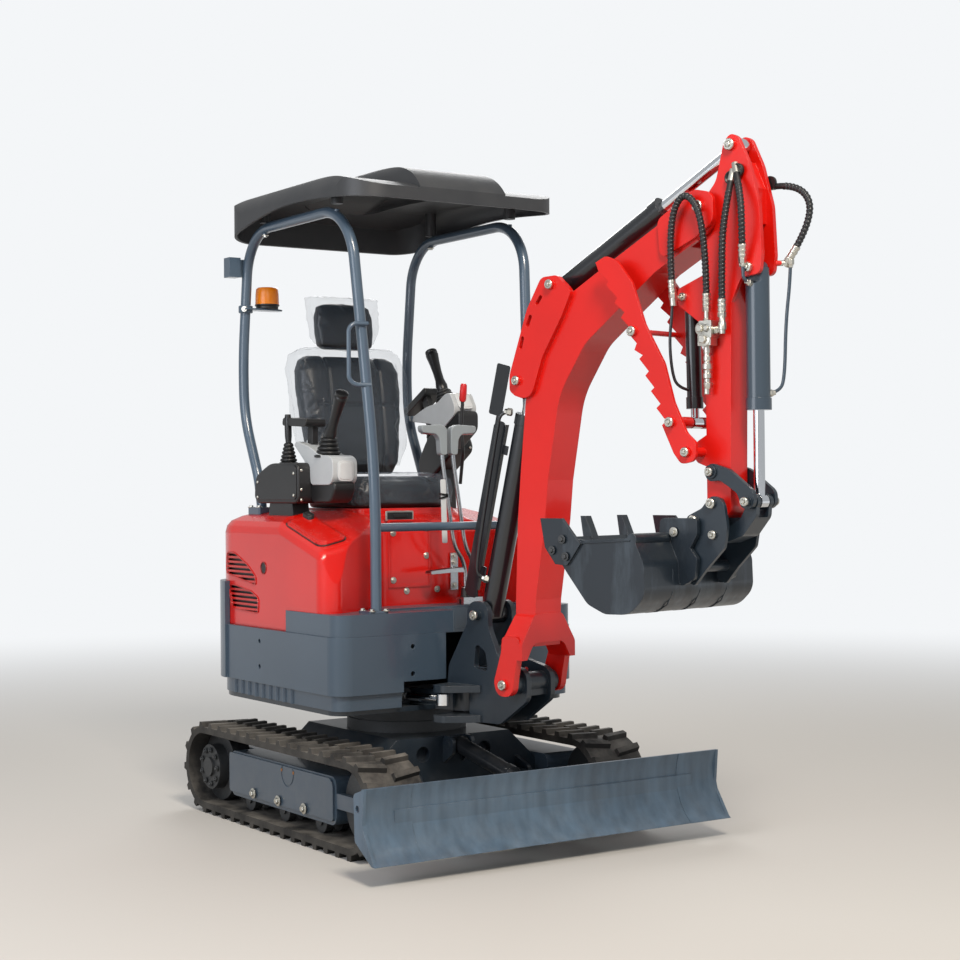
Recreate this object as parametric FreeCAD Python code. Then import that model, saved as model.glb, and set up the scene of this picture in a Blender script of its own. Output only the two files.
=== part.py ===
import FreeCAD, Part
import math
import os

# Mini excavator on rubber tracks, with a canopy, a swing boom and a thumb.
# Millimetres. +X points to the blade, +Y to the machine's left and +Z up, with Z 0 at the ground.
# The slew axis stands at SLEW_X, so that the middle of the whole machine's box is at X 0.
V = FreeCAD.Vector
SLEW_X = -459.5

# Tracks, measured from the slew axis.
TRACK_OUTER_Y = 530.0
SHOE_W = 200.0
TRACK_Y = TRACK_OUTER_Y - SHOE_W / 2
WHEEL_X = 509.0
WHEEL_Z = 158.0
LUG_TIP_R = 158.0
BELT_R = 142.0
BELT_IN_R = 120.0
PITCHES = 40
LUG_SINK = 2.0
LUG_LONG = 30.0
LUG_SLANT = 16.0
LUG_CORNER = 1.2
SEAT = 0.3

# Side frames, wheels and rollers.
FRAME_X = 372.0
FRAME_Z0 = 78.0
FRAME_Z1 = 232.0
FRAME_IN_Y = 330.0
FRAME_OUT_Y = 494.0
COVER_T = 8.0
WHEEL_W = 66.0
ROLLER_R = 38.0
ROLLER_XS = (-250.0, 0.0, 250.0)

# Carbody and slew ring.
BODY_X = 300.0
BODY_Z0 = 120.0
BODY_Z1 = 318.0
RING_R = 205.0
RING_Z1 = 412.0

# Blade and its hinge.
BLADE_HALF_W = 667.0
BLADE_SEAM_Y = 500.0
BLADE_X = 856.0
BLADE_TOP = 276.0
BLADE_FOOT_X = 917.0
BLADE_FOOT_Z = 62.0
BLADE_T = 12.0
BLADE_PIN_X = 350.0
BLADE_PIN_Z = 165.0
BLADE_BOX = 42.0
TIE_HOLE_IN = 37.0
TIE_HOLE_Z = 215.0
TIE_HOLE_R = 11.0
BLADE_ARM_Y = 215.0
BLADE_ARM_W = 50.0
BLADE_CYL_BASE = (330.0, 292.0)
BLADE_CYL_END = (745.0, 205.0)

# Upper frame, skirt, floor and hood, measured from the slew axis.
DECK_Z0 = 412.0
DECK_Z1 = 428.0
SKIRT_Z0 = 478.0
SKIRT_Z1 = 664.0
SKIRT_Y = 471.0
SKIRT_FRONT = 350.0
SKIRT_REAR = -620.0
TAIL_R = 200.0
NOSE_R = 60.0
PLATE_T = 10.0
FLOOR_Z = 735.0
MAT_T = 6.0
HOOD_FRONT = 105.0
HOOD_INSET = 12.0
HOOD_T = 6.0
HOOD_SHOULDER_Z = 985.0
HOOD_TOP = 1062.0
HOOD_Y = SKIRT_Y - HOOD_INSET
CHEEK_FOOT = 285.0
CHEEK_TOP = (222.0, 932.0)
CHEEK_R = 50.0
PANEL_Y = 148.0
SHOULDER = (-130.0, 1036.0)
SHOULDER_RISE = 0.23
VENT_CORNER = 12.0
WEIGHT_TOP = 815.0
SIDE_HOLE_X = -182.0
SIDE_HOLE_ZS = (535.0, 621.0)
FRONT_HOLE_Y = -187.0
FRONT_HOLE_ZS = (536.0, 624.0)
PLATE_HOLE_R = 8.0

# Canopy.
TUBE_R = 18.0
RAIL_Y = 344.0
RAIL_Z = 2053.0
POST_X = 318.0
POST_Y = 305.0
KNEE_Z = 1180.0
BAR_Z = 1010.0
ROOF_X0 = -575.0
ROOF_X1 = 385.0
ROOF_Y = 410.0
ROOF_T = 10.0
ROOF_MIDDLE_Z = 2164.0
ROOF_TOP = 2214.0
ROOF_BOSS_Y = 172.0
BOLT_XS = (-365.0, 150.0)

# Boom group. It is drawn in its own plane: s runs forward from the king pin, n runs to the
# left and z up. The whole group is swung to the left by SWING_REST, as in the photo.
KING_X = 393.0
SWING_REST = 12.5
KING_R = 25.0
FRAME_BOSS_R = 56.0
BOSS_Z0 = 412.0
BOSS_Z1 = 476.0
LUG_GAP = 5.0
POST_LUG_T = 22.0
SWING_EAR = (12.0, -132.0)
SWING_BASE = (-60.0, -250.0)
SWING_CYL_Z = 456.0
SWING_ROD_R = 14.0
FOOT = (273.0, 520.0)
FOOT_HALF = 125.0
FOOT_EAR_T = 24.0
CYL_BASE = (106.0, 728.0)
BOOM_HALF = 60.0
BOOM_WALL = 8.0
BOOM_CYL_END = (296.0, 1471.0)
ARM_CYL_BASE = (438.0, 1761.0)
STICK_PIN = (1004.0, 1939.0)
ARM_CYL_END = (1093.0, 2108.0)
BUCKET_CYL_BASE = (1153.0, 1754.0)
ROCKER_PIN = (1030.0, 1178.0)
LINK_PIN = (1155.0, 1093.0)
BUCKET_PIN = (1048.0, 1088.0)
COUPLER_PIN = (1053.0, 999.0)
STICK_HALF = 40.0
LINK_HALF = 38.0
LINK_FORK_N = 22.0
LINK_FORK_R = 46.0
THUMB_PIN = (985.0, 1235.0)
THUMB_HALF = 115.0
THUMB_PLATE = 10.0
THUMB_CYL_BASE = (922.0, 1688.0)
THUMB_CYL_END = (930.0, 1322.0)
THUMB_ROD = (793.0, 1592.0)
BUCKET_HALF = 262.0
TOOTH_N = 86.0
TOOTH_W = 28.0

# Clearances between pieces that move on each other.
PIN_GAP = 0.3
SIDE_GAP = 5.0


def outline(points):
    """A closed wire through the points; a third number rounds that corner."""
    n = len(points)
    edges = []
    ends = []
    for i in range(n):
        p = V(points[i][0], points[i][1], 0)
        r = points[i][2] if len(points[i]) > 2 else 0
        a = V(points[i - 1][0], points[i - 1][1], 0) - p
        b = V(points[(i + 1) % n][0], points[(i + 1) % n][1], 0) - p
        if r <= 0:
            ends.append((p, p, None))
            continue
        a.normalize()
        b.normalize()
        half = a.getAngle(b) / 2
        reach = r / math.tan(half)
        mid = a + b
        mid.normalize()
        top = p + mid * (r / math.sin(half) - r)
        ends.append((p + a * reach, p + b * reach, top))
    for i in range(n):
        start, stop, top = ends[i]
        if top is not None:
            edges.append(Part.Arc(start, top, stop).toShape())
        following = ends[(i + 1) % n][0]
        if (following - stop).Length > 1e-6:
            edges.append(Part.makeLine(stop, following))
    return Part.Wire(edges)


def plan(points, z0, z1):
    """Solid with an outline in X and Y, between two heights."""
    face = Part.Face(outline(points))
    face.translate(V(0, 0, z0))
    return face.extrude(V(0, 0, z1 - z0))


def side(points, y0, y1):
    """Solid with an outline in X and Z, between two places across the machine."""
    face = Part.Face(outline(points))
    face.rotate(V(0, 0, 0), V(1, 0, 0), 90)
    face.translate(V(0, y0, 0))
    return face.extrude(V(0, y1 - y0, 0))


def front(points, x0, x1):
    """Solid with an outline in Y and Z, between two places along the machine."""
    face = Part.Face(outline(points))
    face.rotate(V(0, 0, 0), V(1, 0, 0), 90)
    face.rotate(V(0, 0, 0), V(0, 0, 1), 90)
    face.translate(V(x0, 0, 0))
    return face.extrude(V(x1 - x0, 0, 0))


def box(x0, x1, y0, y1, z0, z1):
    return Part.makeBox(x1 - x0, y1 - y0, z1 - z0, V(x0, y0, z0))


def rod(start, end, r):
    """Round bar from one point to another."""
    start = V(*start)
    way = V(*end) - start
    return Part.makeCylinder(r, way.Length, start, way)


def across(s, z, r, y0, y1):
    """Round bar lying across the machine."""
    return Part.makeCylinder(r, y1 - y0, V(s, y0, z), V(0, 1, 0))


def upright(x, y, r, z0, z1):
    return Part.makeCylinder(r, z1 - z0, V(x, y, z0))


def join(shapes):
    """One solid out of several; faces that lie in one plane are merged where that stays sound."""
    whole = shapes[0]
    for shape in shapes[1:]:
        whole = whole.fuse(shape)
    merged = whole.copy().removeSplitter()
    return merged if merged.isValid() else whole


def bent(points, r, name=""):
    """Round bar or hose along straight runs joined by tangent arcs."""
    pts = [V(*p) for p in points]
    edges = []
    start = pts[0]
    for i in range(1, len(pts) - 1):
        a = pts[i - 1] - pts[i]
        b = pts[i + 1] - pts[i]
        turn = math.pi - a.getAngle(b)
        reach = 0.45 * min(a.Length, b.Length)
        radius = reach / math.tan(turn / 2)
        if name:
            print(name, "bend", i, "radius", round(radius, 1))
        a.normalize()
        b.normalize()
        mid = a + b
        mid.normalize()
        half = (math.pi - turn) / 2
        top = pts[i] + mid * (radius / math.sin(half) - radius)
        edges.append(Part.makeLine(start, pts[i] + a * reach))
        edges.append(Part.Arc(pts[i] + a * reach, top, pts[i] + b * reach).toShape())
        start = pts[i] + b * reach
    edges.append(Part.makeLine(start, pts[-1]))
    path = Part.Wire(edges)
    ring = Part.Wire(Part.Circle(pts[0], pts[1] - pts[0], r).toShape())
    return path.makePipeShell([ring], True, True)


def barrel(base, end, length, r, bore, eye_r, pin_r, half):
    """Cylinder tube with its base eye, drawn in the boom plane from base towards end."""
    b = V(base[0], 0, base[1])
    way = V(end[0], 0, end[1]) - b
    way.normalize()
    tube = Part.makeCylinder(r, length, b, way)
    gland = Part.makeCylinder(r + 3, 34, b + way * (length - 34), way)
    eye = across(base[0], base[1], eye_r, -half, half)
    inside = Part.makeCylinder(bore, length, b + way * (eye_r + 10), way)
    hole = across(base[0], base[1], pin_r + PIN_GAP, -half - 1, half + 1)
    trim = across(base[0], base[1], r + 12, half, half + 60)
    other = across(base[0], base[1], r + 12, -half - 60, -half)
    body = tube.fuse([gland, eye]).cut(inside).cut(hole)
    return body.cut(trim).cut(other).removeSplitter()


def piston(base, end, reach, r, eye_r, half):
    """Rod with its eye at end; it reaches back into the tube."""
    e = V(end[0], 0, end[1])
    way = V(base[0], 0, base[1]) - e
    way.normalize()
    bar = Part.makeCylinder(r, reach, e, way)
    eye = across(end[0], end[1], eye_r, -half, half)
    return bar.fuse(eye).removeSplitter()


# Tracks and what they run on.

def track(y_sign):
    """Rubber belt as one loop with two rows of slanted lugs."""
    y = y_sign * TRACK_Y
    straight = 2 * WHEEL_X

    def loop(r, w):
        ends = [across(x, WHEEL_Z, r, y - w / 2, y + w / 2) for x in (-WHEEL_X, WHEEL_X)]
        middle = box(-WHEEL_X, WHEEL_X, y - w / 2, y + w / 2, WHEEL_Z - r, WHEEL_Z + r)
        return ends[0].fuse([ends[1], middle])

    belt = loop(BELT_R, SHOE_W).cut(loop(BELT_IN_R, SHOE_W + 2)).removeSplitter()
    length = 2 * straight + 2 * math.pi * BELT_R
    lugs = []
    for i in range(PITCHES):
        for half, shift in ((-1, 0.0), (1, 0.5)):
            place = along_loop(((i + shift) / PITCHES) * length, straight)
            # Lugs on the wheels stand a little lower, so that their corners stay above Z 0.
            tall = LUG_TIP_R - BELT_R - (0 if place[2] in (0.0, 180.0) else LUG_CORNER)
            near = half * 6.0
            far = half * (SHOE_W / 2)
            foot = LUG_LONG / 2
            tip = foot - 5
            low = [(-foot, near), (foot, near), (foot - LUG_SLANT, far), (-foot - LUG_SLANT, far)]
            high = [(-tip, near), (tip, near), (tip - LUG_SLANT, far), (-tip - LUG_SLANT, far)]
            wires = []
            for ring, z in ((low, -LUG_SINK), (high, tall)):
                pts = [V(p[0], p[1], z) for p in ring]
                wires.append(Part.makePolygon(pts + [pts[0]]))
            lug = Part.makeLoft(wires, True, True)
            lug.rotate(V(0, 0, 0), V(0, 1, 0), place[2])
            lug.translate(V(place[0], y, place[1]))
            lugs.append(lug)
    return belt.multiFuse(lugs)


def along_loop(d, straight):
    """Place and turn of a lug, a distance along the outside of the belt from the top rear."""
    arc = math.pi * BELT_R
    if d < straight:
        return (-WHEEL_X + d, WHEEL_Z + BELT_R, 0.0)
    d -= straight
    if d < arc:
        a = d / BELT_R
        return (WHEEL_X + BELT_R * math.sin(a), WHEEL_Z + BELT_R * math.cos(a), math.degrees(a))
    d -= arc
    if d < straight:
        return (WHEEL_X - d, WHEEL_Z - BELT_R, 180.0)
    d -= straight
    a = d / BELT_R
    return (-WHEEL_X - BELT_R * math.sin(a), WHEEL_Z - BELT_R * math.cos(a),
            180.0 + math.degrees(a))


def side_frame(sign):
    """Roller frame inside the loop, with its cover plate and the roller guards."""
    inner = sign * FRAME_IN_Y
    outer = sign * (FRAME_OUT_Y - COVER_T)
    y0, y1 = sorted((inner, outer))
    shape = [(-FRAME_X, FRAME_Z0, 30), (FRAME_X, FRAME_Z0, 30), (FRAME_X, FRAME_Z1, 30),
             (-FRAME_X, FRAME_Z1, 30)]
    body = side(shape, y0, y1)
    slots = []
    for x in ROLLER_XS:
        r = ROLLER_R + 6
        c = sign * TRACK_Y
        slots.append(box(x - r, x + r, c - 50, c + 50, FRAME_Z0 - 1, 130))
    body = body.cut(slots[0].multiFuse(slots[1:]))
    c0, c1 = sorted((outer, sign * FRAME_OUT_Y))
    cover = side([(-FRAME_X, 92, 12), (FRAME_X - 10, 92, 12), (FRAME_X - 10, 226, 30),
                  (-FRAME_X, 226, 12)], c0, c1)
    # The groove that ends the cover's raised front part.
    groove = across(60, 205, 44, c0 - 2, c1 + 2).cut(across(60, 205, 38, c0 - 3, c1 + 3))
    c3 = c1 - 2 if sign > 0 else c0
    cover = cover.cut(groove.common(box(0, 120, c3, c3 + 2, 150, 226)))
    bolts = []
    for x in (-180.0, 0.0, 180.0):
        bolts.append(across(x, 108, 9, min(sign * FRAME_OUT_Y, sign * (FRAME_OUT_Y + 6)),
                            max(sign * FRAME_OUT_Y, sign * (FRAME_OUT_Y + 6))))
    # Idler slide at the front end.
    arm = box(FRAME_X - 10, WHEEL_X + 30, min(inner, sign * (TRACK_Y - WHEEL_W / 2 - 2)),
              max(inner, sign * (TRACK_Y - WHEEL_W / 2 - 2)), WHEEL_Z - 30, WHEEL_Z + 30)
    rear = box(-WHEEL_X - 60, -FRAME_X + 10, min(inner, sign * (TRACK_Y - WHEEL_W / 2 - 2)),
               max(inner, sign * (TRACK_Y - WHEEL_W / 2 - 2)), WHEEL_Z - 70, WHEEL_Z + 70)
    outer_arm = box(FRAME_X - 30, WHEEL_X + 25, min(sign * (TRACK_Y + WHEEL_W / 2 + 2), outer),
                    max(sign * (TRACK_Y + WHEEL_W / 2 + 2), outer), WHEEL_Z - 24, WHEEL_Z + 24)
    return join([body, cover, arm, rear, outer_arm] + bolts)


def wheels(sign):
    """Drive sprocket with its hub, idler, bottom rollers and their axles."""
    y = sign * TRACK_Y
    in_y = sign * FRAME_IN_Y
    r = BELT_IN_R - SEAT
    parts = []
    drive = across(-WHEEL_X, WHEEL_Z, r, y - WHEEL_W / 2, y + WHEEL_W / 2)
    hub_out = sign * (FRAME_OUT_Y + 8)
    hub = across(-WHEEL_X, WHEEL_Z, 78, min(y, hub_out), max(y, hub_out))
    cap = across(-WHEEL_X, WHEEL_Z, 34, min(y, hub_out + sign * 10), max(y, hub_out + sign * 10))
    bolts = []
    for i in range(9):
        a = math.radians(i * 40)
        x = -WHEEL_X + 60 * math.cos(a)
        z = WHEEL_Z + 60 * math.sin(a)
        bolts.append(across(x, z, 6, min(y, hub_out + sign * 5), max(y, hub_out + sign * 5)))
    parts.append(join([drive, hub, cap] + bolts))
    idler = across(WHEEL_X, WHEEL_Z, r, y - WHEEL_W / 2, y + WHEEL_W / 2)
    waist = across(WHEEL_X, WHEEL_Z, r - 25, y + WHEEL_W / 2 - 12, y + WHEEL_W / 2)
    idler = idler.cut(waist).fuse(across(WHEEL_X, WHEEL_Z, 22, y - WHEEL_W / 2 - 2,
                                         y + WHEEL_W / 2 + 2))
    parts.append(idler)
    z = WHEEL_Z - BELT_IN_R + SEAT + ROLLER_R
    for x in ROLLER_XS:
        bar = across(x, z, 14, y - 50, y + 50)
        for d in (-1, 1):
            c = y + d * 30
            bar = bar.fuse(across(x, z, ROLLER_R, c - 14, c + 14))
        parts.append(bar)
    return Part.makeCompound(parts)


def carbody():
    """Middle frame between the tracks, with the blade's lugs at the front."""
    core = front([(-FRAME_IN_Y, BODY_Z0), (FRAME_IN_Y, BODY_Z0), (FRAME_IN_Y, 215),
                  (RING_R + 15, BODY_Z1), (-RING_R - 15, BODY_Z1), (-FRAME_IN_Y, 215)],
                 -BODY_X, BODY_X)
    holes = []
    for y in (-120.0, 120.0):
        holes.append(rod((BODY_X - 30, y, 262), (BODY_X + 5, y, 262), 26))
    core = core.cut(holes[0].fuse(holes[1]))
    core = core.cut(box(-BODY_X + 12, BODY_X - 30, -250, 250, BODY_Z0 - 1, BODY_Z1 - 90))
    lugs = []
    for c in (-BLADE_ARM_Y, BLADE_ARM_Y):
        for d in (-1, 1):
            y0 = c + d * (BLADE_ARM_W / 2 + SIDE_GAP)
            y1 = y0 + d * 14
            lugs.append(side([(BODY_X - 5, BODY_Z0 + 5), (BLADE_PIN_X, BLADE_PIN_Z - 34, 20),
                              (BLADE_PIN_X + 34, BLADE_PIN_Z - 34, 30),
                              (BLADE_PIN_X + 34, BLADE_PIN_Z + 34, 30), (BODY_X - 5, 230)],
                             min(y0, y1), max(y0, y1)))
        lugs.append(across(BLADE_PIN_X, BLADE_PIN_Z, 15, c - BLADE_ARM_W / 2 - 22,
                           c + BLADE_ARM_W / 2 + 22))
    for d in (-1, 1):
        y0 = d * (26 + SIDE_GAP)
        y1 = y0 + d * 12
        x, z = BLADE_CYL_BASE
        lugs.append(side([(BODY_X - 5, 225), (x + 30, z - 25, 20), (x + 30, z + 28, 20),
                          (x - 20, z + 28, 12), (BODY_X - 5, 300)], min(y0, y1), max(y0, y1)))
    lugs.append(across(BLADE_CYL_BASE[0], BLADE_CYL_BASE[1], 14, -46, 46))
    return join([core] + lugs)


def slew_ring():
    ring = upright(0, 0, RING_R, BODY_Z1, RING_Z1)
    groove = upright(0, 0, RING_R + 1, 356, 368).cut(upright(0, 0, RING_R - 8, 355, 369))
    bore = upright(0, 0, 60, BODY_Z1 - 1, RING_Z1 + 1)
    return ring.cut(groove).cut(bore)


def blade():
    """Dished dozer blade with end plates, extension plates and two arms."""
    def skin(t0, t1, y0, y1):
        top = V(BLADE_X + t0, y0, BLADE_TOP)
        mid = V(BLADE_X - 6 + t0, y0, 160)
        low = V(BLADE_FOOT_X + t0, y0, BLADE_FOOT_Z)
        top2 = V(BLADE_X + t1, y0, BLADE_TOP)
        mid2 = V(BLADE_X - 6 + t1, y0, 160)
        low2 = V(BLADE_FOOT_X + t1, y0, BLADE_FOOT_Z)
        wire = Part.Wire([Part.Arc(top, mid, low).toShape(), Part.makeLine(low, low2),
                          Part.Arc(low2, mid2, top2).toShape(), Part.makeLine(top2, top)])
        return Part.Face(wire).extrude(V(0, y1 - y0, 0))

    parts = [skin(-BLADE_T, -3, -BLADE_HALF_W, BLADE_HALF_W)]
    parts.append(skin(-4, -1.5, -BLADE_SEAM_Y, BLADE_SEAM_Y))
    for d in (-1, 1):
        y0, y1 = sorted((d * (BLADE_SEAM_Y + 1), d * BLADE_HALF_W))
        parts.append(skin(-4, 0, y0, y1))
        y0, y1 = sorted((d * (BLADE_HALF_W - 10), d * BLADE_HALF_W))
        end = side([(BLADE_X, BLADE_TOP), (BLADE_X - 60, BLADE_TOP - 20, 16),
                    (BLADE_X - 54, 120, 16), (BLADE_FOOT_X - 20, BLADE_FOOT_Z),
                    (BLADE_FOOT_X - 4, BLADE_FOOT_Z), (BLADE_X - 10, 160)], y0, y1)
        parts.append(end.cut(across(BLADE_X - TIE_HOLE_IN, TIE_HOLE_Z, TIE_HOLE_R, y0 - 1,
                                    y1 + 1)))
    # Stiffening box behind the blade and the tie between the arms.
    inner = BLADE_ARM_Y - BLADE_ARM_W / 2 - SEAT
    parts.append(box(BLADE_X - BLADE_BOX, BLADE_X - 8, -560, 560, 90, 206))
    parts.append(box(600, 680, -inner, inner, 105, 165))
    x, z = BLADE_CYL_END
    for d in (-1, 1):
        y0, y1 = sorted((d * (24 + SIDE_GAP), d * (24 + SIDE_GAP + 12)))
        ear = side([(x - 28, z + 28, 24), (x - 40, 150), (BLADE_X - 20, 130),
                    (BLADE_X - 20, z + 30), (x + 20, z + 34, 20)], y0, y1)
        parts.append(ear)
        y2, y3 = sorted((d * (24 + SIDE_GAP + 12), d * (24 + SIDE_GAP + 20)))
        parts.append(across(x, z, 17, y2, y3))
    parts.append(box(640, BLADE_X - 20, -41, 41, 125, 150))
    return join(parts)


def blade_arms():
    """The two push arms, from the carbody's lugs to the box behind the blade."""
    arms = []
    h = BLADE_ARM_W / 2
    end = BLADE_X - BLADE_BOX - SEAT
    for c in (-BLADE_ARM_Y, BLADE_ARM_Y):
        arm = side([(BLADE_PIN_X - 30, BLADE_PIN_Z + 28, 20), (BLADE_PIN_X - 30, BLADE_PIN_Z - 28, 20),
                    (650, 95, 60), (end, 92), (end, 205), (640, 180, 60)], c - h, c + h)
        arms.append(arm.cut(across(BLADE_PIN_X, BLADE_PIN_Z, 15 + PIN_GAP, c - h - 1, c + h + 1)))
    return Part.makeCompound(arms)


# Upper structure.

def body_plan(inset, x_front=SKIRT_FRONT, nose=NOSE_R):
    y = SKIRT_Y - inset
    rear = SKIRT_REAR + inset
    return [(rear, -y, TAIL_R - inset), (x_front, -y, nose), (x_front, y, nose),
            (rear, y, TAIL_R - inset)]


def deck():
    """Turntable plate with the king-pin boss, the swing cylinder's lug and mounts."""
    plate = plan(body_plan(20, SKIRT_FRONT - 30), DECK_Z0, DECK_Z1)
    plate = plate.cut(upright(0, 0, 60, DECK_Z0 - 1, DECK_Z1 + 1))
    boss = upright(KING_X, 0, FRAME_BOSS_R, BOSS_Z0, BOSS_Z1)
    nose = plan([(180, -150), (KING_X - 10, -FRAME_BOSS_R + 2), (KING_X - 10, FRAME_BOSS_R - 2),
                 (180, 150)], BOSS_Z0, BOSS_Z1)
    bore = upright(KING_X, 0, KING_R + PIN_GAP, BOSS_Z0 - 1, BOSS_Z1 + 1)
    walls = []
    for y in (-150.0, 138.0):
        walls.append(box(-430, 200, y, y + 12, DECK_Z1 - 1, SKIRT_Z1 - 12))
    x, y = SWING_BASE
    pad = upright(x, y, 30, DECK_Z1 - 1, SWING_CYL_Z - 20 - PIN_GAP)
    pin = upright(x, y, 12, DECK_Z1 - 1, SWING_CYL_Z + 28)
    return join([plate, boss.fuse(nose).cut(bore), pad, pin] + walls)


def skirt():
    """Side and front plates, the cast apron below them and the weight round the back."""
    solid = plan(body_plan(0), SKIRT_Z0, SKIRT_Z1)
    hollow = plan(body_plan(PLATE_T, SKIRT_FRONT - PLATE_T, NOSE_R - PLATE_T),
                  SKIRT_Z0 - 1, SKIRT_Z1 - PLATE_T)
    ring = solid.cut(hollow)
    ring = ring.cut(plan(body_plan(70, 180, 30), SKIRT_Z1 - 30, SKIRT_Z1 + 1))
    # Opening in the front plates for the swing post, and the notch over its cylinder.
    ring = ring.cut(box(SKIRT_FRONT - 90, SKIRT_FRONT + 5, -60, 235, SKIRT_Z0 - 5, SKIRT_Z1 + 1))
    ring = ring.cut(box(SKIRT_FRONT - 30, SKIRT_FRONT + 5, -222, -50, SKIRT_Z0 - 5, 512))
    # Cast apron below the plates, with upright ribs on its sides.
    apron = plan(body_plan(14, SKIRT_FRONT - 14, NOSE_R - 14), DECK_Z1 + SEAT, SKIRT_Z0)
    apron = apron.cut(plan(body_plan(34, SKIRT_FRONT - 34, NOSE_R - 34), DECK_Z1, SKIRT_Z0 + 1))
    apron = apron.cut(box(SKIRT_FRONT - 100, SKIRT_FRONT + 5, -222, 235, DECK_Z1 - 5,
                          SKIRT_Z0 + 1))
    ribs = []
    for i in range(9):
        for d in (-1, 1):
            ribs.append(upright(-390 + i * 52, d * (SKIRT_Y - 16), 9, DECK_Z1 + SEAT, SKIRT_Z0))
    weight = plan(body_plan(-8, -360, 10), SKIRT_Z0, WEIGHT_TOP)
    weight = weight.cut(box(-430, -350, -500, 500, SKIRT_Z0 - 1, WEIGHT_TOP + 1))
    weight = weight.cut(plan(hood_plan(-1), SKIRT_Z1 - 2, WEIGHT_TOP + 1))
    weight = weight.cut(plan(body_plan(90, -300, 10), SKIRT_Z0 - 1, SKIRT_Z1 + 1))
    holes = []
    for z in SIDE_HOLE_ZS:
        holes.append(rod((SIDE_HOLE_X, -SKIRT_Y - 5, z), (SIDE_HOLE_X, -SKIRT_Y + 20, z),
                         PLATE_HOLE_R))
        holes.append(rod((SIDE_HOLE_X, SKIRT_Y - 20, z), (SIDE_HOLE_X, SKIRT_Y + 5, z),
                         PLATE_HOLE_R))
    for z in FRONT_HOLE_ZS:
        holes.append(rod((SKIRT_FRONT - 20, FRONT_HOLE_Y, z), (SKIRT_FRONT + 5, FRONT_HOLE_Y, z),
                         PLATE_HOLE_R))
    return join([ring, apron, weight] + ribs).cut(holes[0].multiFuse(holes[1:]))


def step_floor():
    """Floor box in front of the seat; its front edge is the step."""
    def tray(inset, z0, z1):
        x = SKIRT_FRONT - 2 - inset
        y = SKIRT_Y - 6 - inset
        r = NOSE_R - 8 - inset
        notch = SKIRT_FRONT - 92 - inset
        shape = plan([(0, -y), (x, -y, r), (x, -20 - inset, 12), (notch, -20 - inset, 8),
                      (notch, 235 + inset, 8), (x, 235 + inset, 12), (x, y, r), (0, y)], z0, z1)
        return shape.cut(plan(hood_plan(-2 - inset), z0 - 1, z1 + 1))

    mat = plan([(HOOD_FRONT, -250, 10), (SKIRT_FRONT - 110, -250, 10),
                (SKIRT_FRONT - 110, 340, 10), (HOOD_FRONT, 340, 10)], FLOOR_Z, FLOOR_Z + MAT_T)
    mat = mat.cut(plan(hood_plan(-10), FLOOR_Z - 1, FLOOR_Z + MAT_T + 1))
    return join([tray(0, SKIRT_Z1, FLOOR_Z).cut(tray(10, SKIRT_Z1 - 1, FLOOR_Z - 8)), mat])


def hood_plan(inset):
    """Hood from above: a round tail, upright sides and cheeks that slant back to the panel."""
    y = HOOD_Y
    slant = math.atan2(CHEEK_FOOT - HOOD_FRONT, y - PANEL_Y)
    tip = CHEEK_FOOT - inset * (1 + math.sin(slant)) / math.cos(slant)
    side_y = PANEL_Y + inset * (1 - math.cos(slant)) / math.sin(slant)
    x = HOOD_FRONT - inset
    rear = SKIRT_REAR + HOOD_INSET + inset
    tail = max(TAIL_R - HOOD_INSET - inset, 10)
    r = max(CHEEK_R - inset / 2, 8)
    return [(rear, inset - y, tail), (tip, inset - y, r), (x, -side_y, 25), (x, side_y, 25),
            (tip, y - inset, r), (rear, y - inset, tail)]


# How far the hood is drawn in at heights above its shoulder, and the flats that round the
# edge of each side: how much lower each starts and how steeply it climbs inward.
CROWN = ((0.0, 0.0), (23.0, 6.0), (41.0, 22.0), (57.0, 60.0), (HOOD_TOP - HOOD_SHOULDER_Z, 150.0))
SIDE_FLATS = ((0.0, SHOULDER_RISE), (-13.0, 0.8), (-27.0, 2.6))


def hood_shape(inset):
    """Hood as a solid; its shoulders fall forward to the cheeks and outward to the sides."""
    body = plan(hood_plan(inset), SKIRT_Z1, HOOD_SHOULDER_Z - inset)
    rings = []
    for up, drawn_in in CROWN:
        ring = outline(hood_plan(drawn_in + inset))
        ring.translate(V(0, 0, HOOD_SHOULDER_Z + up - inset))
        rings.append(ring)
    body = body.fuse(Part.makeLoft(rings, True, True))
    y = HOOD_Y - inset
    for drop, rise in SIDE_FLATS:
        low = SKIRT_Z1 - rise * y - 100
        profile = [(-700, low), (CHEEK_FOOT - inset, low), (CHEEK_FOOT - inset, SKIRT_Z1),
                   (CHEEK_TOP[0] - inset, CHEEK_TOP[1] - inset + drop, 40),
                   (SHOULDER[0], SHOULDER[1] - inset + drop, 150),
                   (-700, SHOULDER[1] - inset + drop)]
        halves = []
        for d in (-1, 1):
            face = Part.Face(outline(profile))
            face.rotate(V(0, 0, 0), V(1, 0, 0), 90)
            face.translate(V(0, d * y, 0))
            halves.append(face.extrude(V(0, -d * (y + 1), (y + 1) * rise)))
        body = body.common(halves[0].fuse(halves[1]))
    return body


VENTS = ([(-445, 915), (-393, 915), (-293, 875), (-232, 838), (-233, 810), (-450, 843)],
         [(-435, 801), (-391, 802), (-265, 785), (-213, 766), (-214, 715), (-408, 722)])
AIR_HOLE = (-170.0, 869.0)


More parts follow.
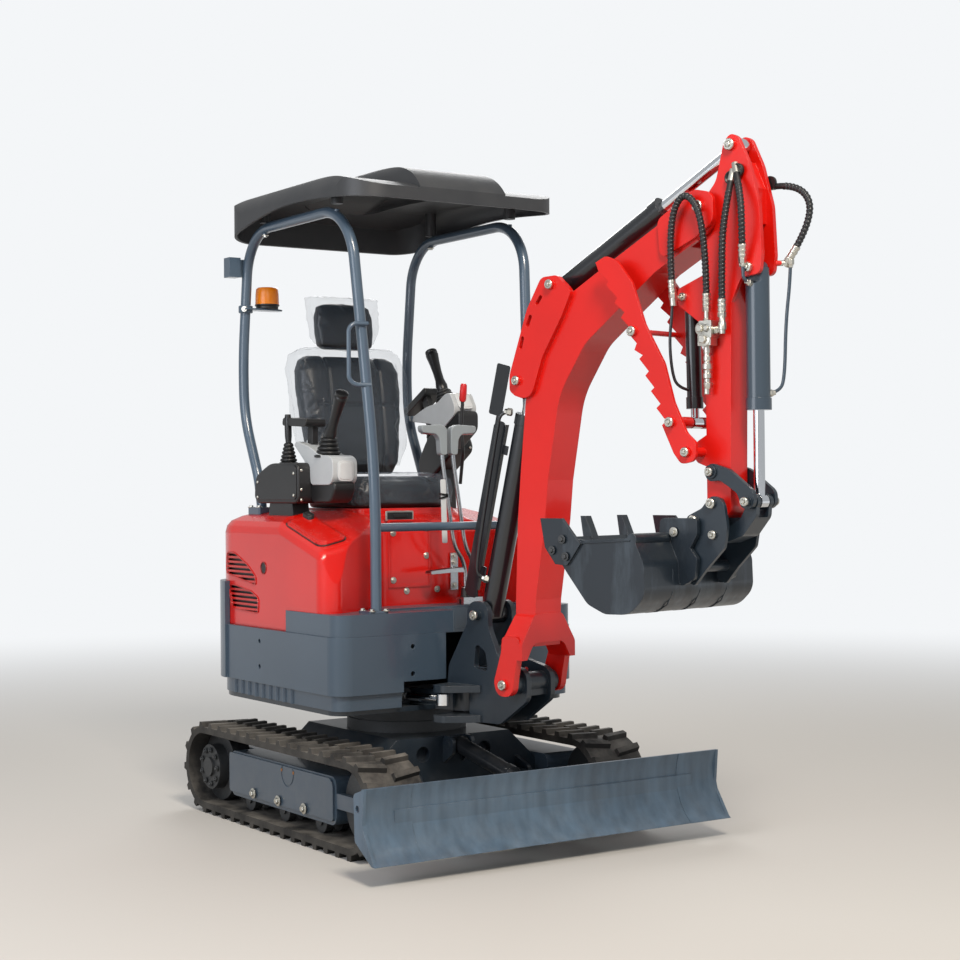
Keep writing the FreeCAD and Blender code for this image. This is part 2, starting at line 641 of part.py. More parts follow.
def hood():
    """Painted engine hood under the seat, hollow, with two slanted vents on each side."""
    shell = hood_shape(0).cut(hood_shape(HOOD_T))
    shell = shell.cut(plan([(-560, -380, 60), (60, -380, 60), (60, 380, 60), (-560, 380, 60)],
                           SKIRT_Z1 - 5, SKIRT_Z1 + 8))
    cuts = []
    grilles = []
    for d in (-1, 1):
        y0, y1 = sorted((d * (HOOD_Y - HOOD_T - 4), d * (HOOD_Y + 5)))
        s0, s1 = sorted((d * (HOOD_Y - HOOD_T), d * (HOOD_Y - 1)))
        for points in VENTS:
            rounded = [(x, z, VENT_CORNER if x < -300 else 8) for x, z in points]
            cuts.append(side(rounded, y0, y1))
            x0 = min(x for x, z in points)
            x1 = max(x for x, z in points)
            z0 = min(z for x, z in points)
            slats = [box(x0, x1, s0, s1, z0 + 5 + i * 16, z0 + 13 + i * 16) for i in range(7)]
            window = side(rounded, s0, s1)
            grilles.append(slats[0].multiFuse(slats[1:]).common(window))
        cuts.append(across(AIR_HOLE[0], AIR_HOLE[1], 17, y0, y1))
    shell = shell.cut(cuts[0].multiFuse(cuts[1:]))
    seat_plate = plan([(-400, -190, 20), (20, -190, 20), (20, 190, 20), (-400, 190, 20)],
                      HOOD_TOP - 22, HOOD_TOP + 6)
    # Raised door frame on the front panel.
    panel = box(HOOD_FRONT - 4, HOOD_FRONT + 3, -132, 36, 800, 1030)
    inner = box(HOOD_FRONT - 5, HOOD_FRONT + 4, -124, 28, 808, 1022)
    return join([shell, seat_plate, panel.cut(inner)] + grilles)


LID_X = (-60.0, 190.0)
LID_Y = (-436.0, -335.0)
LID_T = 7.0


def shoulder_z(x):
    """Height of the hood's side edge where the shoulder falls forward."""
    fall = (CHEEK_TOP[1] - SHOULDER[1]) / (CHEEK_TOP[0] - SHOULDER[0])
    return SHOULDER[1] + fall * (x - SHOULDER[0])


def lid_hinge(x):
    """Place of the lid's hinge line at a place along the machine."""
    y = LID_Y[0]
    return (x, y, shoulder_z(x) + SHOULDER_RISE * (HOOD_Y + y) + SEAT * 3 + LID_T / 2)


def tank_lid():
    """Filler lid on the right shoulder, hinged along its outer edge."""
    def skin(points, low, high):
        """A plate that follows the shoulder, between two heights above it."""
        x0 = LID_X[0] - 5
        x1 = LID_X[1] + 5
        strip = [(x0, shoulder_z(x0) + low), (x1, shoulder_z(x1) + low),
                 (x1, shoulder_z(x1) + high), (x0, shoulder_z(x0) + high)]
        face = Part.Face(outline(strip))
        face.rotate(V(0, 0, 0), V(1, 0, 0), 90)
        face.translate(V(0, -HOOD_Y, 0))
        sheet = face.extrude(V(0, 200, 200 * SHOULDER_RISE))
        return plan(points, 800, 1200).common(sheet)

    def pad(inset, r):
        return [(LID_X[0] + inset, LID_Y[0] + inset, r), (LID_X[1] - inset, LID_Y[0] + inset, r),
                (LID_X[1] - inset, LID_Y[1] - inset, r), (LID_X[0] + inset, LID_Y[1] - inset, r)]

    seat = SEAT * 3
    plate = skin(pad(0, 26), seat, seat + LID_T)
    rim = skin(pad(9, 20), seat + LID_T - 1, seat + LID_T + 4)
    latch = skin([(-48, -372, 6), (-12, -372, 6), (-12, -350, 6), (-48, -350, 6)],
                 seat + LID_T, seat + LID_T + 14)
    pin = rod(lid_hinge(LID_X[0] + 30), lid_hinge(LID_X[1] - 30), LID_T / 2)
    return join([plate, rim, latch, pin])


def engine():
    """Plain block at the engine's place; it carries most of the tail's weight."""
    return box(-470, -60, -136, 136, DECK_Z1 + SEAT, 840)


def seat_cushion():
    return plan([(-400, -215, 60), (25, -215, 70), (25, 215, 70), (-400, 215, 60)],
                HOOD_TOP + 6 + SEAT, 1180)


def seat_back():
    """Reclined back with the headrest."""
    back = side([(-405, 1186, 30), (-300, 1186, 30), (-368, 1640, 40), (-462, 1640, 40)],
                -215, 215)
    head = side([(-452, 1636, 25), (-376, 1636, 25), (-392, 1815, 30), (-470, 1815, 30)],
                -125, 125)
    foot = side([(-398, 1180.5), (-310, 1180.5), (-305, 1200), (-403, 1200)], -200, 200)
    return join([back, head, foot])


POD = (10.0, 305.0, 1249.0)
LEFT_POD = (-191.0, 300.0, 1436.0)
LEFT_TILT = 32.0


def console(sign):
    """Arm console, drawn about the foot of its joystick; the left one is tipped up."""
    x, y, z = POD if sign < 0 else LEFT_POD
    y *= sign
    outer, inner = (90.0, 0.0) if sign < 0 else (0.0, 90.0)
    tail = 370 if sign < 0 else 300
    case = side([(x - tail, z - 164, 20), (x - 55, z - 164, 12), (x - 52, z - 24, 16),
                 (x - tail + 105, z - 24, 20), (x - tail + 8, z - 62, 16)], y - outer, y + inner)
    chin = side([(x - 60, z - 162, 10), (x + 92, z - 162, 20), (x + 108, z - 98, 10),
                 (x - 60, z - 98)], y - 36, y + 44)
    pod = side([(x - 56, z - 101, 12), (x + 88, z - 101, 16), (x + 106, z - 76, 20),
                (x + 100, z - 8, 16), (x + 12, z, 60), (x - 140, z + 48, 10),
                (x - 166, z + 34, 10), (x - 76, z - 40, 30)], y - 42, y + 52)
    boot = Part.makeCone(43, 23, 63, V(x, y, z - 2), V(0.04, 0, 1))
    grip = Part.makeCone(16, 19, 172, V(x + 2, y, z + 55), V(0.80, -0.06, 1))
    knob = Part.makeSphere(19, V(x + 108, y - 8, z + 188))
    dial = Part.makeCone(28, 11, 66, V(x - 200, y + (inner - outer) / 2, z - 26), V(0, 0, 1))
    small = Part.makeCylinder(11, 100, V(x - 200, y + (inner - outer) / 2, z + 30), V(-0.05, 0, 1))
    rest = side([(x - 238, z + 104, 14), (x - 60, z + 96, 14), (x - 60, z + 124, 14),
                 (x - 238, z + 134, 14)], y - 40, y + 26)
    stay = side([(x - 130, z + 20), (x - 90, z + 20), (x - 90, z + 110), (x - 130, z + 110)],
                y - 12, y + 12)
    parts = [case, chin, pod, boot, grip, knob, dial, small, rest, stay]
    if sign > 0:
        for piece in parts:
            piece.rotate(V(x, y, z), V(0, 1, 0), -LEFT_TILT)
    ends = (x - 300, x - 120, z - 155) if sign < 0 else (x - 155, x - 70, z - 235)
    mid = y + (inner - outer) / 2
    stand = box(ends[0], ends[1], mid - 30, mid + 30, HOOD_TOP - 60, ends[2])
    top = hood_shape(0)
    top.translate(V(0, 0, SEAT))
    return join([stand.cut(top)] + parts)


def travel_levers():
    """Two cranked levers with L grips, and the foot lever on its bracket beside them."""
    parts = []
    top = FLOOR_Z + MAT_T + SEAT
    for foot_y, low_y, high_y, way in ((116, 46, -2, -1), (150, 90, 41, 1)):
        parts.append(bent([(200, foot_y, 770), (200, foot_y, 880), (238, low_y, 940),
                           (242, high_y, 1240), (242, high_y, 1325)], 7))
        parts.append(rod((242, high_y, 1262), (242, high_y, 1334), 12))
        parts.append(rod((242, high_y, 1324), (242, high_y + way * 78, 1326), 11))
        parts.append(upright(200, foot_y, 13, top, 800))
    base = box(178, 222, 95, 172, top, 765)
    plate = box(HOOD_FRONT + 4, HOOD_FRONT + 10, 112, 142, 786, 912)
    arm = rod((HOOD_FRONT + 8, 128, 858), (186, 108, 858), 8)
    pedal = front([(-24, 846, 4), (60, 850), (116, 850, 5), (116, 866, 5), (60, 864),
                   (-24, 857, 4)], 168, 206)
    post = rod((200, 116, 858), (186, 108, 858), 8)
    return join(parts + [base, plate, arm, pedal, post])


def canopy_frame():
    """Two bent tube hoops, the cross bar, the grab handle and the small lamp box."""
    parts = []
    top = hood_shape(0)
    top.translate(V(0, 0, SEAT))
    for sign in (-1, 1):
        r = sign * RAIL_Y
        p = sign * POST_Y
        parts.append(bent([(POST_X, p, FLOOR_Z + 4), (POST_X, p, KNEE_Z),
                           (232, r, RAIL_Z), (-150, r, RAIL_Z)], TUBE_R))
        parts.append(bent([(-140, r, RAIL_Z), (-492, r, RAIL_Z), (-545, r, 1600),
                           (-538, r, 1400), (-425, r, 1165), (-405, r, HOOD_TOP + 4)], TUBE_R))
        parts.append(plan([(POST_X - 55, p - 36, 8), (POST_X + 22, p - 36, 8),
                           (POST_X + 22, p + 36, 8), (POST_X - 55, p + 36, 8)],
                          FLOOR_Z, FLOOR_Z + 8))
        foot = plan([(-450, r - 34, 8), (-360, r - 34, 8), (-360, r + 34, 8),
                     (-450, r + 34, 8)], HOOD_TOP - 40, HOOD_TOP + 10)
        parts.append(foot.cut(top))
        for x in BOLT_XS:
            parts.append(upright(x, r, 9, RAIL_Z - TUBE_R - 6, RAIL_Z))
    parts.append(rod((POST_X, -POST_Y, BAR_Z), (POST_X, POST_Y, BAR_Z), 14))
    parts.append(bent([(POST_X - 22, -POST_Y - 10, 1668), (POST_X - 34, -POST_Y - 75, 1668),
                       (POST_X - 34, -POST_Y - 75, 1470), (POST_X - 12, -POST_Y - 6, 1470)], 7))
    parts.append(box(-533, -511, -RAIL_Y - 32, -RAIL_Y - 4, 1895, 1957))
    parts.append(box(-545, -500, -RAIL_Y - 74, -RAIL_Y - 30, 1892, 1962))
    return join(parts)


def smooth(points):
    """A smooth line through places in X and Z."""
    line = Part.BSplineCurve()
    line.interpolate([V(x, 0, z) for x, z in points])
    return line.toShape()


def arched(top, foot, y):
    """Solid between two smooth lines in X and Z, as wide as y to each side."""
    ends = [Part.makeLine(V(a[0], 0, a[1]), V(b[0], 0, b[1]))
            for a, b in ((top[0], foot[0]), (top[-1], foot[-1]))]
    wire = Part.Wire(Part.__sortEdges__([smooth(top), smooth(foot)] + ends))
    face = Part.Face(wire)
    face.translate(V(0, -y, 0))
    return face.extrude(V(0, 2 * y, 0))


def roof():
    """Moulded roof: an arched shell with a raised middle, hollow below."""
    def shell(inset):
        t = inset
        top = [(ROOF_X0 - 20, ROOF_MIDDLE_Z - 54 - t), (-530, ROOF_MIDDLE_Z - 24 - t),
               (-160, ROOF_MIDDLE_Z - t), (100, ROOF_MIDDLE_Z - 5 - t),
               (300, ROOF_MIDDLE_Z - 30 - t), (ROOF_X1 + 20, ROOF_MIDDLE_Z - 66 - t)]
        drop = 60 if inset else 0
        foot = [(ROOF_X0 - 20, 2018 - drop), (-450, 2046 - drop), (-160, 2088 - drop),
                (100, 2088 - drop), (270, 2075 - drop), (ROOF_X1 + 20, 2066 - drop)]
        y = ROOF_Y - t
        seen = plan([(ROOF_X0 + t, -y, 130 - t), (ROOF_X1 - t, -y, 130 - t),
                     (ROOF_X1 - t, y, 130 - t), (ROOF_X0 + t, y, 130 - t)], 1900, 2300)
        ends = front([(-y, 1900), (y, 1900), (y, ROOF_MIDDLE_Z + 2 - t, 60),
                      (-y, ROOF_MIDDLE_Z + 2 - t, 60)], ROOF_X0 - 20, ROOF_X1 + 20)
        return arched(top, foot, y + 10).common(seen).common(ends)

    def boss(inset):
        t = inset
        top = [(-485, ROOF_TOP - 74 - t), (-420, ROOF_TOP - 28 - t), (-300, ROOF_TOP - 9 - t),
               (0, ROOF_TOP - t), (150, ROOF_TOP - 9 - t), (300, ROOF_TOP - 36 - t),
               (ROOF_X1 + 5, ROOF_TOP - 110 - t)]
        foot = [(-485, 2095), (-200, 2095), (150, 2095), (ROOF_X1 + 5, 2072)]
        y = ROOF_BOSS_Y - t
        seen = plan([(-480 + t, -y, 80), (ROOF_X1 - t, -y), (ROOF_X1 - t, y), (-480 + t, y, 80)],
                    1900, 2300)
        ends = front([(-y, 1900), (y, 1900), (y - 8, ROOF_TOP - t, 40),
                      (8 - y, ROOF_TOP - t, 40)], -500, ROOF_X1 + 10)
        return arched(top, foot, y).common(seen).common(ends)

    skin = shell(0).fuse(boss(0))
    room = shell(ROOF_T).fuse(boss(ROOF_T))
    posts = []
    for x in BOLT_XS:
        for y in (-RAIL_Y, RAIL_Y):
            posts.append(upright(x, y, 20, RAIL_Z + TUBE_R + SEAT, ROOF_MIDDLE_Z + 20))
    inside = posts[0].multiFuse(posts[1:]).common(skin.fuse(room))
    return join([skin.cut(room), inside])


def beacon():
    """Amber flashing lamp on a flat arm that reaches in from the right rear post."""
    x = -515.0
    y = -262.0
    z = 1778.0
    arm = box(x - 28, x + 28, -RAIL_Y + TUBE_R + 1, y + 58, z, z + 6)
    clamp = upright(-524, -RAIL_Y, TUBE_R + 7, z - 12, z + 16)
    tube = rod((-492, -RAIL_Y, RAIL_Z), (-545, -RAIL_Y, 1600), TUBE_R + SEAT)
    foot = upright(x, y, 34, z + 5, z + 20)
    lamp = upright(x, y, 42, z + 20, z + 84)
    return join([arm, clamp.cut(tube), foot, lamp])


# Boom group, drawn in its own plane.

def swing_post():
    """Casting on the king pin: it carries the boom's foot and the boom cylinder."""
    parts = []
    top = BOSS_Z1 + LUG_GAP
    low = BOSS_Z0 - LUG_GAP
    for z0, z1 in ((top, top + POST_LUG_T), (low - POST_LUG_T, low)):
        arm = plan([(-30, -60, 25), (SWING_EAR[0] - 28, SWING_EAR[1] - 28, 26),
                    (SWING_EAR[0] + 28, SWING_EAR[1] - 28, 26), (120, -72), (120, 72),
                    (-30, 60, 25)], z0, z1)
        parts.append(arm)
        parts.append(upright(0, 0, 54, z0, z1))
    web_s = FRAME_BOSS_R + 10
    for d in (-1, 1):
        y0, y1 = sorted((d * 46.0, d * 66.0))
        cheek = side([(-34, top), (-26, 560, 60), (58, 700, 40), (62, 772, 38), (150, 772, 38),
                      (152, 690, 60), (200, 590, 60), (318, 562, 44), (318, 468, 40),
                      (200, low - POST_LUG_T, 40), (web_s, low - POST_LUG_T), (web_s, top)],
                     y0, y1)
        parts.append(cheek.cut(side([(88, 560, 12), (150, 548, 12), (138, 612, 18),
                                     (96, 640, 12)], y0 - 1, y1 + 1)))
    parts.append(box(web_s, web_s + 30, -50, 50, low - POST_LUG_T, 560))
    parts.append(side([(150, 500), (300, 480), (300, 500), (160, 560)], -50, 50))
    parts.append(across(FOOT[0], FOOT[1], 34, -FOOT_HALF + FOOT_EAR_T + SIDE_GAP,
                        FOOT_HALF - FOOT_EAR_T - SIDE_GAP))
    parts.append(upright(0, 0, KING_R, low - POST_LUG_T - 8, top + POST_LUG_T + 8))
    parts.append(across(CYL_BASE[0], CYL_BASE[1], 16, -84, 84))
    post = join(parts)
    return post.cut(across(FOOT[0], FOOT[1], 16 + PIN_GAP, -130, 130))


def boom():
    """Gooseneck box boom with its forked foot, guard plates and tip plates."""
    outer = [(268, 640), (268, 782), (279, 1034), (293, 1191), (310, 1347), (330, 1540, 150),
             (430, 1690, 180), (622, 1790), (940, 1951), (1040, 1985, 50), (1052, 1880, 60),
             (990, 1846), (832, 1766), (699, 1672, 60), (560, 1572, 150), (455, 1420, 250),
             (406, 1159), (393, 1035), (352, 785), (345, 640)]
    body = side(outer, -BOOM_HALF, BOOM_HALF)
    hollow = side([(282, 700), (306, 1240), (330, 1450), (400, 1630), (620, 1770), (880, 1905),
                   (900, 1830), (700, 1690), (560, 1590), (440, 1430), (392, 1160), (338, 700)],
                  -BOOM_HALF + BOOM_WALL, BOOM_HALF - BOOM_WALL)
    body = body.cut(hollow)
    parts = [body]
    # Flared fork at the foot.
    for d in (-1, 1):
        e0, e1 = sorted((d * (FOOT_HALF - FOOT_EAR_T), d * FOOT_HALF))
        ear = side([(FOOT[0] - 42, FOOT[1] + 8, 34), (FOOT[0] - 30, FOOT[1] - 36, 34),
                    (FOOT[0] + 36, FOOT[1] - 36, 34), (FOOT[0] + 44, FOOT[1] + 20, 30),
                    (338, 640, 20), (338, 672, 14), (268, 672, 14), (262, 620, 30)], e0, e1)
        parts.append(ear.cut(across(FOOT[0], FOOT[1], 16, e0 - 1, e1 + 1)))
    bridge = front([(-FOOT_HALF, 600), (-FOOT_HALF, 650, 20), (-BOOM_HALF - 4, 742, 30),
                    (BOOM_HALF + 4, 742, 30), (FOOT_HALF, 650, 20), (FOOT_HALF, 600),
                    (FOOT_HALF - FOOT_EAR_T, 600), (70, 652, 40), (-70, 652, 40),
                    (-FOOT_HALF + FOOT_EAR_T, 600)], 264, 352)
    parts.append(bridge.cut(side([(230, 590), (262, 590), (262, 625), (272, 745), (230, 745)],
                                 -130, 130)))
    parts.append(across(FOOT[0], FOOT[1], 16, -FOOT_HALF - 6, FOOT_HALF + 6))
    # Guard plates that carry both cylinders.
    for d in (-1, 1):
        y0, y1 = sorted((d * (BOOM_HALF - 2), d * 76.0))
        plate = side([(262, 1440, 20), (262, 1490, 60), (337, 1690, 120), (398, 1786, 30),
                      (462, 1788, 26), (520, 1735, 20), (480, 1660, 60), (400, 1540, 60),
                      (345, 1400, 40), (318, 1414, 20), (285, 1424, 16)], y0, y1)
        slots = [side([(303, 1570, 6), (315, 1566, 6), (326, 1606, 6), (314, 1610, 6)],
                      y0 - 1, y1 + 1),
                 side([(332, 1640, 6), (344, 1634, 6), (360, 1670, 6), (348, 1676, 6)],
                      y0 - 1, y1 + 1),
                 side([(372, 1706, 6), (382, 1698, 6), (404, 1726, 6), (394, 1734, 6)],
                      y0 - 1, y1 + 1)]
        parts.append(plate.cut(slots[0].multiFuse(slots[1:])))
        h0, h1 = sorted((d * 76.0, d * 84.0))
        parts.append(across(BOOM_CYL_END[0], BOOM_CYL_END[1], 15, h0, h1))
        # Tip plates beside the stick's root.
        t0, t1 = sorted((d * (BOOM_HALF - 2), d * 72.0))
        parts.append(side([(850, 1915, 30), (985, 1990, 30), (1052, 1975, 36), (1052, 1890, 36),
                           (985, 1850, 20), (860, 1800, 20)], t0, t1))
    parts.append(across(ARM_CYL_BASE[0], ARM_CYL_BASE[1], 15, -84, 84))
    body = join(parts)
    # Room for the cylinders' eyes and for the stick's root between the plates.
    body = body.cut(side([(390, 1725), (410, 1700), (520, 1742), (560, 1800), (430, 1830)],
                         -34, 34))
    body = body.fuse(across(ARM_CYL_BASE[0], ARM_CYL_BASE[1], 15, -60, 60))
    body = body.cut(side([(225, 1190), (304, 1190), (322, 1300), (360, 1400), (378, 1440),
                          (378, 1560), (300, 1566), (225, 1500)], -45, 45))
    root = across(STICK_PIN[0], STICK_PIN[1], 84, -STICK_HALF - SIDE_GAP - 3,
                  STICK_HALF + SIDE_GAP + 3)
    way = side([(STICK_PIN[0] - 48, 1800), (STICK_PIN[0] + 80, 1800), (STICK_PIN[0] + 80, 2060),
                (STICK_PIN[0] - 48, 2060)], -STICK_HALF - SIDE_GAP - 3, STICK_HALF + SIDE_GAP + 3)
    body = body.cut(root.fuse(way))
    body = body.fuse(across(STICK_PIN[0], STICK_PIN[1], 17, -80, 80))
    return body.removeSplitter()


def stick():
    """Stick: box arm, two top plates with a web, cylinder ears and thumb brackets."""
    h = STICK_HALF
    arm = side([(962, 1925, 40), (975, 1860), (999, 1780), (999, 1385), (1001, 1100, 40),
                (1010, 1045, 35), (1084, 1045, 35), (1084, 1120, 30), (1087, 1385), (1092, 1760),
                (1150, 2000), (1060, 2020)], -h, h)
    hollow = side([(1009, 1760), (1009, 1290), (1078, 1290), (1080, 1750), (1060, 1800)],
                  -h + 8, h - 8)
    parts = [arm.cut(hollow)]
    for d in (-1, 1):
        y0, y1 = sorted((d * (h - 14), d * h))
        top = side([(962, 1925, 40), (1040, 2010, 60), (1068, 2118, 20), (1092, 2142, 20),
                    (1118, 2128, 30), (1155, 2050, 120), (1188, 1930, 120), (1196, 1790, 30),
                    (1190, 1735, 20), (1125, 1728, 20), (1085, 1650), (1000, 1780)], y0, y1)
        parts.append(top)
        h0, h1 = sorted((d * h, d * (h + 7)))
        parts.append(across(ARM_CYL_END[0], ARM_CYL_END[1], 17, h0, h1))
        # Brackets for the thumb's pin and for its cylinder's upper pin.
        b0, b1 = sorted((d * 26.0, d * h))
        parts.append(side([(THUMB_PIN[0] - 26, 1262, 22), (THUMB_PIN[0] - 26, 1208, 22),
                           (1010, 1190), (1010, 1290)], b0, b1))
        parts.append(side([(THUMB_CYL_BASE[0] - 22, 1712, 20), (THUMB_CYL_BASE[0] - 22, 1666, 20),
                           (1005, 1590), (1005, 1750)], b0, b1))
    parts.append(side([(1100, 1860), (1166, 1880), (1166, 1980), (1130, 2060), (1110, 2050)],
                      -h + 10, h - 10))
    parts.append(across(THUMB_CYL_BASE[0], THUMB_CYL_BASE[1], 12, -h - 4, h + 4))
    parts.append(across(BUCKET_CYL_BASE[0], BUCKET_CYL_BASE[1], 14, -h - 8, h + 8))
    parts.append(across(THUMB_PIN[0], THUMB_PIN[1], 14, -THUMB_HALF - 8, THUMB_HALF + 8))
    body = join(parts)
    # Room for the eyes of the arm cylinder, the bucket cylinder and the boom's pin.
    room = across(ARM_CYL_END[0], ARM_CYL_END[1], 62, -h + 14, h - 14)
    room2 = side([(1098, 1715), (1215, 1715), (1215, 1860), (1098, 1840)], -h + 14, h - 14)
    body = body.cut(room).cut(room2)
    body = body.fuse(across(BUCKET_CYL_BASE[0], BUCKET_CYL_BASE[1], 14, -h, h))
    body = body.cut(across(STICK_PIN[0], STICK_PIN[1], 17 + PIN_GAP, -h - 1, h + 1))
    body = body.cut(across(BUCKET_PIN[0], BUCKET_PIN[1], 15 + PIN_GAP, -h - 1, h + 1))
    body = body.cut(across(ROCKER_PIN[0], ROCKER_PIN[1], 13 + PIN_GAP, -h - 1, h + 1))
    # Valve block of the thumb on the near side.
    valve = side([(1006, 1610, 3), (1050, 1610, 3), (1050, 1560, 3), (1006, 1560, 3)], -h - 42, -h)
    ports = [rod((1020, -h - 22, 1400), (1020, -h - 22, 1565), 9),
             rod((1020, -h - 22, 1605), (1020, -h - 22, 1650), 8),
             rod((1042, -h - 22, 1585), (1074, -h - 22, 1585), 8),
             rod((1074, -h - 22, 1577), (1074, -h - 22, 1630), 8),
             across(1020, 1430, 6, -h - 22, -h)]
    return join([body, valve] + ports + fittings())


def rocker():
    """Pair of curved rocker links beside the stick."""
    parts = []
    a, b = ROCKER_PIN, LINK_PIN
    for d in (-1, 1):
        y0, y1 = sorted((d * (STICK_HALF + SIDE_GAP), d * (STICK_HALF + SIDE_GAP + 14)))
        link = side([(a[0] - 26, a[1] - 4, 24), (a[0] - 8, a[1] + 28, 26), (a[0] + 60, a[1] + 8, 60),
                     (b[0] + 20, b[1] + 30, 30), (b[0] + 24, b[1] - 22, 24),
                     (b[0] - 26, b[1] - 20, 24), (b[0] - 30, b[1] + 20, 40),
                     (a[0] + 30, a[1] - 24, 40), (a[0] - 10, a[1] - 28, 22)], y0, y1)
        link = link.cut(across(b[0], b[1], 13, y0 - 1, y1 + 1))
        parts.append(link)
        c0, c1 = sorted((d * (STICK_HALF + SIDE_GAP), d * (STICK_HALF + SIDE_GAP + 20)))
        parts.append(across(a[0], a[1], 20, c0, c1))
        # The outer pin's ends; its middle belongs to the cylinder rod's eye.
        e0, e1 = sorted((d * (STICK_HALF + SIDE_GAP), d * (STICK_HALF + 34)))
        parts.append(across(b[0], b[1], 13, e0, e1))
    parts.append(across(a[0], a[1], 13, -STICK_HALF - 30, STICK_HALF + 30))
    return join(parts)


def bucket_link():
    """Curved link from the rocker's pin to the coupler's pin."""
    b, c = LINK_PIN, COUPLER_PIN
    link = side([(c[0] - 20, c[1] - 16, 14), (c[0] + 4, c[1] - 26, 14), (1124, 996, 30),
                 (b[0] + 14, 1050, 30), (b[0] + 16, b[1] - 10), (b[0] - 18, b[1] - 8),
                 (1116, 1046, 20), (c[0] + 20, c[1] + 20, 14), (c[0] - 20, c[1] + 14, 14)],
                -LINK_HALF, LINK_HALF)
    link = link.fuse(across(b[0], b[1], 22, -LINK_HALF, LINK_HALF))
    # Fork for the eye of the cylinder's rod, which sits between the two cheeks.
    link = link.cut(across(b[0], b[1], LINK_FORK_R, -LINK_FORK_N, LINK_FORK_N))
    link = link.cut(across(c[0], c[1], 13 + PIN_GAP, -LINK_HALF - 1, LINK_HALF + 1))
    return link.removeSplitter()


def coupler():
    """Two coupler plates with spacer tubes; the bucket's ears are bolted outside."""
    outer = [(1053, 1122, 30), (1090, 1086, 30), (1101, 1021, 40), (1090, 962, 20),
             (1027, 900, 30), (985, 852, 10), (950, 866, 14), (962, 1000), (958, 1050, 14),
             (1012, 1074, 30)]
    y_in = STICK_HALF + SIDE_GAP + 14 + SIDE_GAP + 6
    parts = []
    for d in (-1, 1):
        y0, y1 = sorted((d * y_in, d * (y_in + 12)))
        parts.append(side(outer, y0, y1))
    parts.append(across(BUCKET_PIN[0], BUCKET_PIN[1], 15, -y_in - 17, y_in + 17))
    parts.append(across(COUPLER_PIN[0], COUPLER_PIN[1], 13, -y_in - 17, y_in + 17))
    for s, z in ((985.0, 1040.0), (982.0, 905.0)):
        parts.append(across(s, z, 16, -y_in - 18, y_in + 18))
    return join(parts)


def bucket():
    """Bucket with side plates, curved shell, lip, four teeth, tube and ears."""
    w = BUCKET_HALF
    outer = [(588, 972), (660, 884, 60), (735, 798, 60), (800, 772, 60), (890, 774, 80),
             (946, 826, 60), (942, 920, 50), (906, 992)]
    inner = [(612, 990), (664, 906, 60), (741, 814, 60), (803, 784, 50), (884, 788, 70),
             (932, 832, 50), (929, 915, 45), (894, 992)]
    block = side(outer + [(906, 1000), (588, 1000)], -w, w)
    core = side(inner + [(894, 1010), (612, 1010)], -w + 10, w - 10)
    shell = block.cut(core)
    shell = shell.cut(side([(560, 1020), (560, 985), (588, 972), (612, 990), (720, 984),
                            (906, 992), (930, 1020)], -w - 1, w + 1))
    parts = [shell]
    # Lip plate and the side cutters.
    parts.append(side([(578, 966), (600, 948), (640, 916), (650, 928), (606, 978)], -w, w))
    for d in (-1, 1):
        y0, y1 = sorted((d * w, d * (w + 9)))
        parts.append(side([(562, 1046), (648, 1046), (716, 972), (664, 908, 12), (620, 912),
                           (580, 960)], y0, y1))
        y0, y1 = sorted((d * (TOOTH_N - TOOTH_W / 2), d * (TOOTH_N + TOOTH_W / 2)))
        parts.append(side([(572, 1050), (590, 1050), (634, 955), (612, 936), (586, 964)], y0, y1))
        for s, z in ((610.0, 952.0), (650.0, 985.0), (662.0, 935.0)):
            b0, b1 = sorted((d * (w + 9), d * (w + 14)))
            parts.append(across(s, z, 8, b0, b1))
        # Ears outside the coupler plates.
        e0, e1 = sorted((d * 88.0, d * 102.0))
        parts.append(side([(878, 1046, 16), (1010, 1046, 12), (1010, 1000, 20),
                           (985, 960), (1010, 930, 10), (1000, 872, 16), (958, 852, 20),
                           (878, 868), (868, 960)], e0, e1))
        for s, z in ((930.0, 1006.0), (926.0, 916.0)):
            b0, b1 = sorted((d * 102.0, d * 108.0))
            parts.append(across(s, z, 11, b0, b1))
    parts.append(across(900, 988, 17, -w, w))
    return join(parts)


def thumb():
    """Two toothed thumb plates with their cross rods."""
    outline_pts = [(651, 1806), (690, 1822, 24), (732, 1806, 30), (790, 1735, 30),
                   (836, 1610, 80), (906, 1493, 60), (940, 1380, 60), (985, 1290, 40),
                   (1018, 1262, 20), (1018, 1210, 26), (965, 1200, 24), (938, 1233)]
    teeth = [(897, 1314), (912, 1326), (877, 1364), (892, 1376), (857, 1414), (870, 1424),
             (837, 1460), (850, 1472), (815, 1510), (828, 1520), (797, 1537), (806, 1556),
             (772, 1590), (786, 1598), (747, 1635), (760, 1650), (722, 1680), (734, 1694),
             (690, 1735), (700, 1745), (662, 1780)]
    parts = []
    for d in (-1, 1):
        y0, y1 = sorted((d * (THUMB_HALF - THUMB_PLATE), d * THUMB_HALF))
        plate = side(outline_pts + teeth, y0, y1)
        parts.append(plate.cut(across(THUMB_PIN[0], THUMB_PIN[1], 14 + PIN_GAP, y0 - 1, y1 + 1)))
        for s, z in (THUMB_CYL_END, THUMB_ROD):
            h0, h1 = sorted((d * THUMB_HALF, d * (THUMB_HALF + 8)))
            parts.append(across(s, z, 15, h0, h1))
        # Stubs that carry the cylinder's eye.
        s0, s1 = sorted((d * 27.0, d * (THUMB_HALF - THUMB_PLATE)))
        parts.append(across(THUMB_CYL_END[0], THUMB_CYL_END[1], 17, s0, s1))
    parts.append(across(THUMB_ROD[0], THUMB_ROD[1], 8, -THUMB_HALF, THUMB_HALF))
    return join(parts)


